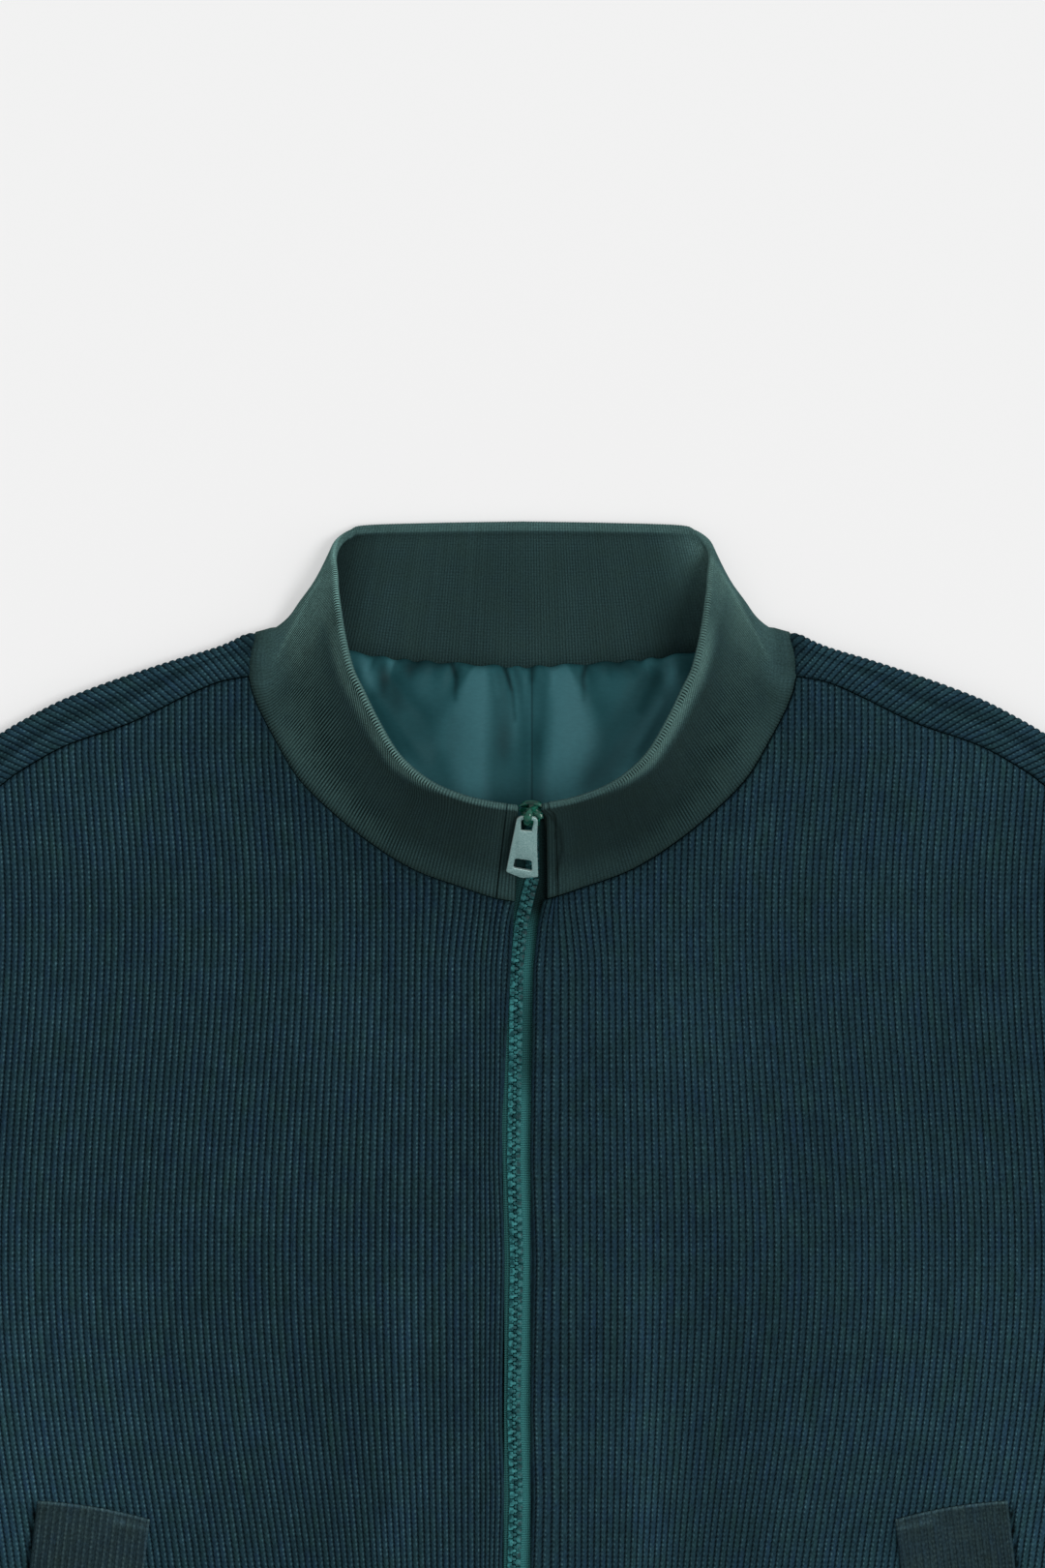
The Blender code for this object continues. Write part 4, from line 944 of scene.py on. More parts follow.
# %% Ridges along a line
def beside_line(x, drop, x0, d0, x1, d1):
    """Distance along the line from its first point, aside from it, and what is left of its
    length: products of the way to a point with the line's own direction."""
    length = math.hypot(x1 - x0, d1 - d0)
    run_x, run_d = (x1 - x0) / length, (d1 - d0) / length
    along = (x - x0) * run_x + (drop - d0) * run_d
    return along, (x - x0) * run_d - (drop - d0) * run_x, length - along


# Side, upper end, lower end (x, drop), half width, height
PUCKERS = ((-1, (-12.0, 122.8), (-7.6, 112.4), 1.3, 1.0),
           (-1, (-15.6, 119), (-11.0, 111.4), 1.2, 0.7),
           (-1, (-19.5, 117.5), (-15.5, 109.8), 1.2, 0.5),
           (1, (9.0, 121), (12.4, 112.6), 1.2, 1.0),
           (1, (13.0, 121.6), (16.4, 112.2), 1.2, 0.8),
           (1, (17.5, 120), (20.2, 111.6), 1.2, 0.5))


def puckers(x, drop, side):
    """Short ridges: each a bell across its line, and level along it between its ends."""
    total = np.zeros(np.broadcast(x, drop).shape)
    for of_side, low, high, wide, tall in PUCKERS:
        if of_side == side:
            along, aside, left_over = beside_line(x, drop, *low, *high)
            total = total + tall * hill(aside, 0, wide) * rise(along / 3) * rise(left_over / 3)
    return total


print(len(PUCKERS), "pulls beside the zip")

# %% Making the fronts
def front_grid(side, edge):
    """Columns follow the ribs and rows go from the top seam down to the hem seam. The
    height is the underside plus the cloth and the rib, less the turned edges."""
    ribs = (CHEST_HALF - edge) / RIB
    start = edge + (CHEST_HALF - edge) * np.linspace(0, 1, int(ribs * PER_RIB) + 1)
    start = np.concatenate([edge + np.array([0, 0.1, 0.3, 0.65, 1.1]), start[3:-1],
                            CHEST_HALF - np.array([0.7, 0.35, 0.12, 0.0])])
    start = np.unique(start)
    follow = 1 - rise((start - edge) / 15)
    top = front_top(start)
    for _ in range(12):
        moved = side * (start + rib_way(start, top, top)) + follow * zip_x(top)
        top = np.where(start < 236, 0.5 * (top + front_top(np.abs(moved))), top)
    end = body_bottom(start)
    way = np.concatenate([[0, 0.0003, 0.001, 0.0022, 0.004, 0.0065, 0.01],
                          0.01 + 0.985 * np.linspace(0, 1, 96)[1:] ** 1.25, [0.9975, 0.999, 1.0]])
    drop = top + (end - top) * way[:, None]
    x = side * (start + rib_way(start, drop, top)) + follow * zip_x(drop)
    under = under_front(start, drop)
    phase = (start - edge) / RIB + 0.5
    crest = RIB_HEIGHT * rib_form(phase)
    edge_gap = np.minimum(start - edge, CHEST_HALF - start)
    folds = 0.7 * hill(start, 50, 7) * rise((drop - 200) / 80) * rise((BODY_BOTTOM - drop) / 90)
    over = under + CLOTH + crest + folds + puckers(x, drop, side)
    over = over - np.minimum(turned_edge(drop - top, 1.7) * 1.3, CLOTH)
    over = over - np.minimum(turned_edge(end - drop, 1.5), CLOTH)
    over = under + (over - under) * np.sqrt(1 - np.clip(1 - edge_gap / 1.9, 0, 1) ** 2)
    back = [-1, 70, 30, 0]
    grid = np.concatenate([metres(x, drop, over),
                           metres(x[back], drop[back], under[back])])
    rows = np.concatenate([drop, drop[back]])
    cloth = np.stack([np.broadcast_to(phase, rows.shape), rows / COURSE], axis=-1)
    return grid, cloth, front_tone(np.concatenate([x, x[back]]), rows)


for (title, side), edge in zip(SIDES, (LEFT_EDGE, RIGHT_EDGE)):
    grid, cloth, tone = front_grid(side, edge)
    front = cloth_piece("velvet_front_" + title, grid, cloth, VELVET, tone=tone)
    stand_in(front, "velvet", "front_" + title)

# %% [markdown]
# ## The back and the shoulders
# The back is cut long: it wraps over each shoulder and is sewn to the front a little way
# down the chest. So its ribs, upright behind, turn at the fold like light in a mirror and
# run down towards the neck on the strip that shows. The seam allowance is pressed up
# under the strip and makes a soft ridge along it.

# %% The strip over each shoulder
STRIP_RIB, STRIP_START = 2.5, 111.0
FOLD_X = np.linspace(108, 262, 400)
FOLD_TAN = np.gradient(drop_on(SHOULDER_FOLD, np.clip(FOLD_X, 114, 241))
                       + 0.69 * np.maximum(FOLD_X - 241, 0)
                       - 0.5 * np.maximum(114 - FOLD_X, 0), FOLD_X)
FOLD_TAN = np.convolve(np.pad(FOLD_TAN, 15, mode="edge"), np.ones(31) / 31, mode="valid")
# Direction across the ribs of the strip, in degrees from level, by distance out
FOLD_TURN = np.radians(np.interp(FOLD_X, [114, 127, 139, 151, 163, 175, 187, 241],
                                 [43, 46, 50, 52.6, 55.5, 59, 61, 62]))
FOLD_COUNT = np.concatenate([[0], np.cumsum(
    ((np.cos(FOLD_TURN) + np.sin(FOLD_TURN) * FOLD_TAN) / STRIP_RIB)[:-1] * np.diff(FOLD_X))])


def strip_phase(x, depth):
    """Rib number: where the rib through a point meets the fold. Going up a rib moves it
    outwards by the depth times the tangent, over one plus the tangent times the slope."""
    lean = np.tan(np.interp(x, FOLD_X, FOLD_TURN))
    slope = np.interp(x, FOLD_X, FOLD_TAN)
    return np.interp(x + depth * lean / (1 + slope * lean), FOLD_X, FOLD_COUNT)


def strip_grid(side):
    """Rows go from under the shoulder, round the fold and over to the seam; columns run
    along it. The top is hollow above the ridge of the seam allowance and full below it."""
    x = np.linspace(STRIP_START, SHOULDER_X, 320)[None, :]
    turn = np.linspace(-math.pi / 2, math.pi / 2, 17)[:, None]
    fold, seam = drop_on(SHOULDER_FOLD, x), drop_on(SHOULDER_SEAM, x) - SEAM
    round_drop = fold + FOLD_RADIUS * (1 - np.cos(turn))
    round_z = FOLD_RADIUS * (1 + np.sin(turn)) * np.ones_like(x)
    way = np.concatenate([np.linspace(0, 0.95, 42)[1:], [0.965, 0.98, 0.99, 0.997, 1.0]])[:, None]
    flat_drop = fold + FOLD_RADIUS + (seam - fold - FOLD_RADIUS) * way
    above = seam - flat_drop
    shape = 1.0 * hill(above, 7.4, 1.9) + 0.3 * (1 - rise((above - 6) / 3))
    shape = shape - 0.9 * hill(above, 12.4, 3.0)
    shape = shape * (1 + 0.2 * np.sin(x / 7.0))
    flat_z = FRONT_OVER + shape * rise((x - 114) / 8)
    flat_z = flat_z - np.minimum(turned_edge(above, 1.8) * 1.2, 2.0)
    drop, z = np.vstack([round_drop, flat_drop]), np.vstack([round_z, flat_z])
    depth = np.vstack([np.maximum(round_drop - fold, 0) * (turn > 0), flat_drop - fold])
    phase = strip_phase(x, depth)
    crest = RIB_HEIGHT * rib_form(phase) * (0.35 + 0.65 * rise((x - 112.5) / 5))
    lift = np.vstack([np.sin(turn) * np.ones_like(x), np.ones_like(flat_drop)])
    push = np.vstack([-np.cos(turn) * np.ones_like(x), np.zeros_like(flat_drop)])
    fade = np.clip((z - 0.6) / 1.5, 0, 1)
    z = z + (crest - 0.3) * lift * fade
    drop = drop + (crest - 0.5) * push * fade
    # painted light and shade: lighter over the fold and on the ridge of the seam allowance, darker in
    # the hollow above it, in the seam and near the collar
    tone = 1 + 0.10 * hill(depth, 3.0, 2.5)
    tone[len(turn):] += 0.10 * hill(above, 7.2, 1.8) - 0.12 * hill(above, 11.5, 2.6)
    tone[len(turn):] -= 0.14 * hill(above, 0, 1.2)
    tone = (1.06 * tone * (1 - 0.25 * np.exp(-(x - 112.5) / 4))) ** 2.2
    z = z * (1 - 0.45 * (1 - rise((x - STRIP_START) / 2.6)))
    inner_z = np.array([FRONT_UNDER, FRONT_UNDER, FOLD_RADIUS, CLOTH])[:, None] * np.ones_like(x)
    inner_z = inner_z * (1 - 0.5 * (1 - rise((x - STRIP_START) / 2.6)))
    inner_drop = np.vstack([seam, fold + FOLD_RADIUS, fold + CLOTH, fold + FOLD_RADIUS])
    deep = np.vstack([depth, inner_drop - fold])
    pull = 2.6 * (1 - rise((x - STRIP_START) / 5)) * (1 - rise(deep / 13))
    grid = metres(side * (x - pull), np.vstack([drop, inner_drop]), np.vstack([z, inner_z]))
    length = deep / COURSE / np.cos(np.radians(38))
    cloth = np.stack([strip_phase(x, deep), length], axis=-1)
    return grid, cloth, np.vstack([tone, np.ones_like(inner_drop)])


print("the strip's ribs cross the fold", round(float(FOLD_COUNT[-1])), "times on each side")

# %% [markdown]
# ## The wall behind
# The back lies on the table, so it is a flat wall whose ribs need no relief in the mesh:
# the finish draws them. Only its outline matters, from shoulder line to hem seam.

# %% Making the back
def back_grid():
    """The wall behind: rows from the shoulder line down to the hem seam, flat below."""
    half = np.concatenate([np.linspace(0, 112.9, 60), np.linspace(114, 240.9, 70)[:-1],
                           241.0 + 44.0 * np.linspace(0, 1, 30)])
    x = np.concatenate([-half[:0:-1], half])
    a = np.abs(x)
    neck = drop_on(NECK_BACK, np.minimum(a, 107)) + SEAM
    shoulder = drop_on(SHOULDER_FOLD, np.maximum(a, 113.9)) + FOLD_RADIUS
    top = np.where(a < 106, neck, np.where(a <= SHOULDER_X, shoulder, armhole_drop(a)))
    end = body_bottom(a)
    way = np.linspace(0, 1, 40)[:, None]
    drop = top + (end - top) * way
    inner = drop[[-1, 20, 0]]
    grid = np.concatenate([metres(x, drop, 0.0), metres(x, inner, CLOTH)])
    rows = np.concatenate([drop, inner])
    return grid, np.stack([np.broadcast_to(x / RIB + 300.5, rows.shape), rows / COURSE], axis=-1)


grid, cloth = back_grid()
back = cloth_piece("velvet_back", grid, cloth, VELVET, plain=1.0)
stand_in(back, "velvet", "back")

# %% Making the shoulder strips
for title, side in SIDES:
    grid, cloth, tone = strip_grid(side)
    strip = cloth_piece("velvet_shoulder_" + title, grid, cloth, VELVET, tone=tone)
    stand_in(strip, "velvet")

# %% [markdown]
# ## The sleeves
# A sleeve is a flattened tube that slopes down from the shoulder and narrows to the cuff.
# Its ribs run along it, parallel to the upper fold, and are cut off at the underarm seam.

# %% The sleeves
SLEEVE_SLOPE = math.radians(52)
SLEEVE_LENGTH, SLEEVE_END, SLEEVE_WIDE = 521.0, 100.0, 140.0
SLEEVE_BULGE, SLEEVE_DIP = 15.0, 5.0
ALONG = np.array([math.cos(SLEEVE_SLOPE), math.sin(SLEEVE_SLOPE)])
INWARD = np.array([-ALONG[1], ALONG[0]])
FOLD_START = np.array([SHOULDER_X + SEAM, SHOULDER_DROP])
ARMPIT = np.array([CHEST_HALF + SEAM * 1.1, ARMPIT_DROP])
FOLD_END = FOLD_START + SLEEVE_LENGTH * ALONG
UNDER_END = FOLD_END + SLEEVE_END * INWARD


def sleeve_plan(across, down):
    """A sheet blended between its four edges: armhole, cuff, upper fold and underarm."""
    across, down = np.broadcast_arrays(across, down)
    a, d = across[..., None], down[..., None]
    # the fold bulges by d times (1 - d) squared, which is 0.148 at most
    hole_drop = FOLD_START[1] + (ARMPIT[1] - FOLD_START[1]) * across
    hole = np.stack([armhole_x(hole_drop) + SEAM * (1 + 0.1 * across), hole_drop], axis=-1)
    end = FOLD_END + (UNDER_END - FOLD_END) * a
    fold = FOLD_START + (FOLD_END - FOLD_START) * d - INWARD * SLEEVE_BULGE * d * (1 - d) ** 2 / 0.148
    under = ARMPIT + (UNDER_END - ARMPIT) * d - INWARD * SLEEVE_DIP * np.sin(math.pi * d)
    corners = (1 - a) * ((1 - d) * FOLD_START + d * FOLD_END) + a * ((1 - d) * ARMPIT + d * UNDER_END)
    return (1 - d) * hole + d * end + (1 - a) * fold + a * under - corners


print("a sleeve is", SLEEVE_LENGTH, "mm long without its cuff")

# %% [markdown]
# ## Folds of a sleeve
# A sleeve laid down keeps a few soft folds across it, and its end is gathered into the
# cuff. They were placed one by one: on a flat tube a simulation gives the same few folds.

# %% Tubes and their folds
def tube_height(position, width, over, wall):
    """Outer and inner height across a flattened tube: half circles at its two edges."""
    way = np.where(position <= 1, position, 2 - position)
    gap = np.minimum(way, 1 - way) * width
    swing = np.sin(np.arccos(1 - np.clip(gap / (over / 2), 0, 1)))
    swing = np.where(position <= 1, swing, -swing)
    return over / 2 * (1 + swing), over / 2 + (over / 2 - wall) * swing


def round_tube(top, low):
    """Columns round a flattened tube, from 0 to 1 over the top and on to 2 underneath: the
    position, how far across it lies, and whether it is on top."""
    position = np.concatenate([top, 2 - low])[None, :]
    upper = position <= 1
    return position, np.where(upper, position, 2 - position), upper


def inner_pull(across, width, wall):
    """How far inwards the inner face lies near the two edges: the wall times a power of
    the nearness to the edge."""
    near = np.minimum(across, 1 - across)
    pull = wall * np.maximum(0, 1 - near * width / FOLD_RADIUS) ** 0.7
    return np.where(across < 0.5, pull, -pull)


def creases(across, down):
    """Soft folds of a sleeve that was laid down: bells across slanted lines."""
    rows = ((0.30, 0.16, 0.55, 0.020, 1.6), (0.55, 0.25, 0.40, 0.024, 1.3),
            (0.35, 0.47, -0.30, 0.018, 1.5), (0.60, 0.56, -0.22, 0.022, 1.2),
            (0.45, 0.75, 0.20, 0.018, 1.2), (0.5, 0.90, -0.12, 0.014, 1.0))
    total = np.zeros(np.broadcast(across, down).shape)
    for at, where, lean, wide, high in rows:
        line = down - where - lean * (across - at)
        total = total + high * hill(line, 0, wide) * hill(across, at, 0.30)
    return total


print("the highest fold of a sleeve is", round(float(creases(0.3, 0.16)), 1), "mm")

# %% Making the sleeves
SEAM_WIDTH = 260.0


def sleeve_grid(side):
    """Columns round the tube and rows down it; gathers near the cuff."""
    top = np.concatenate([[0, 0.003, 0.008, 0.015], np.linspace(0.02, 0.98, 396),
                          [0.985, 0.992, 0.997, 1.0]])
    position, across, upper = round_tube(top, np.linspace(0.995, 0.005, 60))
    down = np.concatenate([[0, 0.001, 0.003, 0.006], np.linspace(0.01, 0.99, 88),
                           [0.995, 0.998, 1.0]])[:, None]
    outer, inner = tube_height(position, SLEEVE_WIDE, FRONT_OVER, CLOTH)
    plan = sleeve_plan(across, down)
    phase = across * (SEAM_WIDTH + (SLEEVE_END - SEAM_WIDTH) * down) / RIB
    near = np.minimum(across, 1 - across)
    fade = rise(near / 0.05) * upper
    crest = RIB_HEIGHT * rib_form(phase) * rise(near / 0.012) * upper
    gather = 0.5 * rise((down - 0.86) / 0.12) * np.sin(across * 38.0 + 1.2 * np.sin(across * 17))
    ends = np.minimum(turned_edge(down * SLEEVE_LENGTH, 1.8), 2.0)
    ends = ends + np.minimum(turned_edge((1 - down) * SLEEVE_LENGTH, 1.8), 2.0)
    z = outer + crest + (creases(across, down) + gather + 0.5) * fade - ends * upper
    back = np.array([1.0, 0.5, 0.0])[:, None]
    inside = sleeve_plan(across + inner_pull(across, SLEEVE_WIDE, CLOTH) / SLEEVE_WIDE, back)
    grid = np.concatenate([metres(side * plan[..., 0], plan[..., 1], z),
                           metres(side * inside[..., 0], inside[..., 1], inner)])
    length = np.concatenate([down, back]) * SLEEVE_LENGTH / COURSE
    rows = np.concatenate([phase, phase[[-1, 40, 0]]])
    cloth = np.stack(np.broadcast_arrays(np.where(upper, rows, 200 - rows), length), axis=-1)
    return grid, np.concatenate([cloth, cloth[:, :1]], axis=1), 1.0 - upper


for title, side in SIDES:
    grid, cloth, plain = sleeve_grid(side)
    sleeve = cloth_piece("velvet_sleeve_" + title, grid, cloth, VELVET, ring=True, plain=plain)
    stand_in(sleeve, "velvet", "sleeve_" + title)

# %% [markdown]
# ## Cuffs and hem
# The cuffs and the hem are bands of the same knit as the collar. They are narrower than
# the cloth they are sewn to, and their ribs run down the arm and down the body.

# %% The cuffs
CUFF_LENGTH, CUFF_WALL, CUFF_START, CUFF_END = 62.0, 2.6, 94.0, 86.0
CUFF_RIBS, BAND_RELIEF, BAND_COURSE = 62, 0.35, 1.3


def cuff_grid(side):
    """A tube blended from its seam width to its end width, ribbed on the upper side."""
    top = np.concatenate([[0, 0.006, 0.014], np.linspace(0.02, 0.98, CUFF_RIBS * 5),
                          [0.986, 0.994, 1.0]])
    position, across, upper = round_tube(top, np.linspace(0.99, 0.01, 30))
    outer, inner = tube_height(position, CUFF_START, FRONT_OVER, CUFF_WALL)
    down = np.concatenate([[0, 0.01, 0.03], np.linspace(0.06, 0.97, 9),
                           [0.985, 0.995, 1.0]])[:, None]
    phase = across * CUFF_RIBS
    crest = BAND_RELIEF * (rib_form(phase, 2.4) - 1)
    crest = crest * rise(np.minimum(across, 1 - across) / 0.03) * upper
    row = SEAM + (CUFF_LENGTH - SEAM) * down
    width = CUFF_START + (CUFF_END - CUFF_START) * down
    in_from = (SLEEVE_END - width) / 2 + width * across
    ends = turned_edge(down * CUFF_LENGTH, 1.5) + turned_edge((1 - down) * CUFF_LENGTH, 1.3)
    spot = FOLD_END + ALONG * row[..., None] + INWARD * in_from[..., None]
    pick = [-1, 0]
    in_from = in_from[pick] + inner_pull(across, CUFF_START, CUFF_WALL)
    inside = FOLD_END + ALONG * row[pick][..., None] + INWARD * in_from[..., None]
    grid = np.concatenate([metres(side * spot[..., 0], spot[..., 1], outer + crest - ends * upper),
                           metres(side * inside[..., 0], inside[..., 1], inner)])
    courses = np.concatenate([row, row[pick]]) / BAND_COURSE
    phase = np.where(upper, phase, 2 * CUFF_RIBS - phase)
    cloth = np.stack(np.broadcast_arrays(phase, courses), axis=-1)
    return grid, np.concatenate([cloth, cloth[:, :1]], axis=1), 1.0 - upper


for title, side in SIDES:
    grid, cloth, plain = cuff_grid(side)
    cuff = cloth_piece("rib_cuff_" + title, grid, cloth, KNIT, ring=True, plain=plain)
    stand_in(cuff, "rib_knit", "cuff_" + title)

# %% [markdown]
# ## The hem
# The hem is one open band of the same knit, from one side of the zip round behind to the
# other. It is a list of columns along the band, each with its outer and its inner place.

# %% The hem rib
HEM_HALF, HEM_NARROWS, HEM_WALL, HEM_RIB = 243.0, 0.975, 2.6, 1.6
HEM_COLUMNS, HEM_UNDER = 720, 60


def hem_grid():
    """One open band: from the zip over the front, round the side, under the back and up
    the other side. Each column knows its outer and inner place and height."""
    middle = float(zip_x((BODY_BOTTOM + HEM_DROP) / 2))
    fold = FOLD_RADIUS - HEM_HALF
    inner_radius = FOLD_RADIUS - HEM_WALL
    front = np.linspace(middle - LEFT_EDGE, fold, HEM_COLUMNS)
    turn = np.radians(np.linspace(75, -75, 11))
    under = np.linspace(fold, 0, HEM_UNDER)
    out_x = np.concatenate([front, fold - FOLD_RADIUS * np.cos(turn), under])
    in_x = np.concatenate([front, fold - inner_radius * np.cos(turn), under])
    outer = np.concatenate([np.full(HEM_COLUMNS, FRONT_OVER),
                            FOLD_RADIUS * (1 + np.sin(turn)), np.zeros(HEM_UNDER)])
    inner = np.concatenate([np.full(HEM_COLUMNS, FRONT_UNDER - 0.2),
                            FOLD_RADIUS + inner_radius * np.sin(turn),
                            np.full(HEM_UNDER, HEM_WALL)])
    top = np.concatenate([np.ones(HEM_COLUMNS), np.zeros(len(turn) + HEM_UNDER)])
    shift = middle + RIGHT_EDGE + (middle - LEFT_EDGE)
    fade = 1 - rise((-front - 4) / 80)
    other_x = np.concatenate([-front + fade * shift, -out_x[HEM_COLUMNS:]])
    other_in = np.concatenate([-front + fade * shift, -in_x[HEM_COLUMNS:]])
    out_x = np.concatenate([out_x, other_x[-2::-1]])
    in_x = np.concatenate([in_x, other_in[-2::-1]])
    outer, inner, top = (np.concatenate([v, v[-2::-1]]) for v in (outer, inner, top))
    length = np.concatenate([[0], np.cumsum(np.hypot(np.diff(out_x), np.diff(outer)))])
    phase = length / HEM_RIB
    gap = np.minimum(length, length[-1] - length)
    drop = BODY_BOTTOM + SEAM + (HEM_DROP - BODY_BOTTOM - SEAM) * np.concatenate(
        [[0, 0.01, 0.03], np.linspace(0.08, 0.96, 9), [0.98, 0.993, 1.0]])[:, None]
    narrow = 1 - (1 - HEM_NARROWS) * (drop - BODY_BOTTOM) / (HEM_DROP - BODY_BOTTOM)
    ends = turned_edge(drop - drop[0], 1.5) + turned_edge(HEM_DROP - drop, 1.3)
    z = outer + top * (BAND_RELIEF * (rib_form(phase, 2.4) - 1) - ends)
    z = inner + (z - inner) * np.sqrt(1 - np.clip(1 - gap / 1.8, 0, 1) ** 2)
    pick = [-1, 0]
    grid = np.concatenate([metres(out_x * narrow, drop, z),
                           metres(in_x * narrow[pick], drop[pick], inner)])
    rows = np.concatenate([drop, drop[pick]]) / BAND_COURSE
    return grid, np.stack(np.broadcast_arrays(phase, rows), axis=-1), 1 - top


grid, cloth, plain = hem_grid()
hem = cloth_piece("rib_hem", grid, cloth, KNIT, plain=plain)
stand_in(hem, "rib_knit", "hem_rib")

# %% [markdown]
# ## Pocket welts
# A wide welt of the same velvet is set on each front at a slant, open along its outer
# side. Its upper end is stitched down with two rows, which press two furrows into it.

# %% The welts
WORN_VELVET = velvet_finish("pressed_velvet", "263534", "20323D", "131F23", "526A6A", 0.40)


def welt_grid(side):
    """Columns from the mouth inwards and rows down the welt, on top of the front."""
    wide = np.linspace(0, 1, 17 * PER_RIB + 1)
    wide = np.unique(np.concatenate([[0.002, 0.006, 0.012, 0.02], wide, [0.98, 0.99, 0.996]]))
    row = np.concatenate([[0, 0.001, 0.003, 0.006], np.linspace(0.01, 0.99, 70),
                          [0.995, 1.0]])[:, None]
    bow = -0.4 - 4.9 * wide + 5.4 * wide ** 2
    drop = WELT_DROP + WELT_SLOPE * wide * WELT_WIDTH + bow * (1 - row) + row * WELT_LENGTH
    x = WELT_X - wide * WELT_WIDTH + WELT_LEAN * row * WELT_LENGTH
    ground = under_front(x, drop) + CLOTH + RIB_HEIGHT + 0.2
    phase = wide * WELT_WIDTH / RIB
    down = row * WELT_LENGTH
    crest = RIB_HEIGHT * rib_form(phase) * rise(down / 5.0)
    furrow = 0.55 * hill(down, 1.7 + 0.9 * wide, 0.8) + 0.5 * hill(down, 4.4 + 1.4 * wide, 0.8)
    edge = np.minimum(wide, 1 - wide) * WELT_WIDTH
    round_off = np.sqrt(1 - np.clip(1 - edge / 1.2, 0, 1) ** 2)
    ends = turned_edge(down, 1.1) + turned_edge(WELT_LENGTH - down, 1.1)
    z = ground + (WELT_WALL + crest - furrow - ends) * round_off
    pick = [-1, 40, 0]
    grid = np.concatenate([metres(side * x, drop, z),
                           metres(side * x[pick], drop[pick], ground[pick])])
    rows = np.concatenate([down, down[pick]])
    # painted light and shade: light on the turned top end, on the ridge between the furrows and along
    # the rounded edges, darker in the furrows
    ridge_highlight = 0.9 * hill(down, 3.6 + 0.9 * wide, 0.7) * rise((wide - 0.6) / 0.15)
    tone = 1 + 1.3 * hill(down, 0.5, 0.6) + ridge_highlight + 0.30 * hill(edge, 0.6, 0.7) - 0.25 * furrow
    tone = np.concatenate([tone, np.ones((3, len(wide)))])
    cloth = np.stack(np.broadcast_arrays(phase + 0.5, rows / COURSE), axis=-1)
    return grid, cloth, {"tone": tone, "groove": 0.75 - 0.35 * hill(rows, 6, 9)}


for title, side in SIDES:
    grid, cloth, marks = welt_grid(side)
    welt = cloth_piece("velvet_welt_" + title, grid, cloth, WORN_VELVET, **marks)
    stand_in(welt, "velvet", "pocket_welt_" + title)

# %% [markdown]
# ## The satin lining
# In the neck the body lining shows, a teal satin that is a little too wide for the neck
# seam and so is gathered on to it. Each gather is a ridge that starts sharp at the seam
# and spreads and dies away below it. A seam runs down its centre back.

# %% Folds of the lining
# Tucks at the seam: place, lean, depth, half width, length; then broad folds: place, drop,
# half width, half length, height; then folds that run aslant from each side of the neck
TUCKS = ((-62, -0.3, 1.2, 1.6, 6), (-53.2, -0.2, 1.8, 1.6, 7), (-44, -0.3, 0.9, 2.0, 8),
         (-36, -0.2, 1.2, 2.4, 9), (-27.2, -0.18, 3.0, 2.4, 13), (-16, 0.1, 1.0, 1.8, 7),
         (-4.8, 0.10, 3.4, 2.2, 22), (2.2, 0.0, 1.6, 1.2, 12), (9.0, 0.1, 1.4, 1.5, 10),
         (25.2, 0.18, 3.0, 2.4, 13), (34, 0.2, 1.4, 1.8, 8), (43, 0.3, 1.0, 2.0, 8),
         (50.8, 0.25, 1.8, 1.5, 6), (60, 0.3, 1.2, 1.6, 6))
PUFFS = ((-20.0, 36, 11, 26, 3.0), (14.0, 36, 9, 26, 3.0), (-8, 62, 22, 13, 1.5),
         (-46, 22, 7, 12, 1.2), (42, 24, 8, 14, 1.4), (-2, 46, 6, 9, -1.4))
SLANTS = ((-70, 12, -38, 56, 4.5, 2.2), (-58, 14, -34, 44, 4.0, -1.6), (70, 12, 40, 56, 4.5, 2.2),
          (57, 14, 30, 50, 4.0, -1.6), (-30, 30, -36, 62, 5.0, -1.2), (27, 24, 38, 62, 5.0, -1.2))


def lining_folds(x, drop):
    """Tucks are valleys that widen and fade downwards, puffs are round hills, and slants
    are ridges or valleys along a line, level between its ends and bell-shaped across."""
    way = np.maximum(drop - 10, 0)
    total = np.zeros(np.broadcast(x, drop).shape)
    for at, lean, deep, wide, long in TUCKS:
        middle = at + lean * way
        total = total - deep * hill(x, middle, wide * (0.8 + way / 26)) * hill(way, 0, long)
    for at, where, wide, long, tall in PUFFS:
        total = total + tall * hill(x, at, wide) * hill(drop, where, long)
    for *line, wide, tall in SLANTS:
        along, aside, left_over = beside_line(x, drop, *line)
        total = total + tall * hill(aside, 0, wide) * rise(along / 8) * rise(left_over / 14)
    return total


print(len(TUCKS), "tucks,", len(PUFFS), "puffs and", len(SLANTS), "slanted folds")

# %% [markdown]
# ## Light on the satin
# Satin throws its light one way, so a gather is a bright panel with a dark line beside it,
# more than its small height would give. The panels, spots and lines below are drawn as
# smooth hills, and kept as a tone on each point. Where the stand of the collar
# would keep the lamp off the satin, a little light is given back.

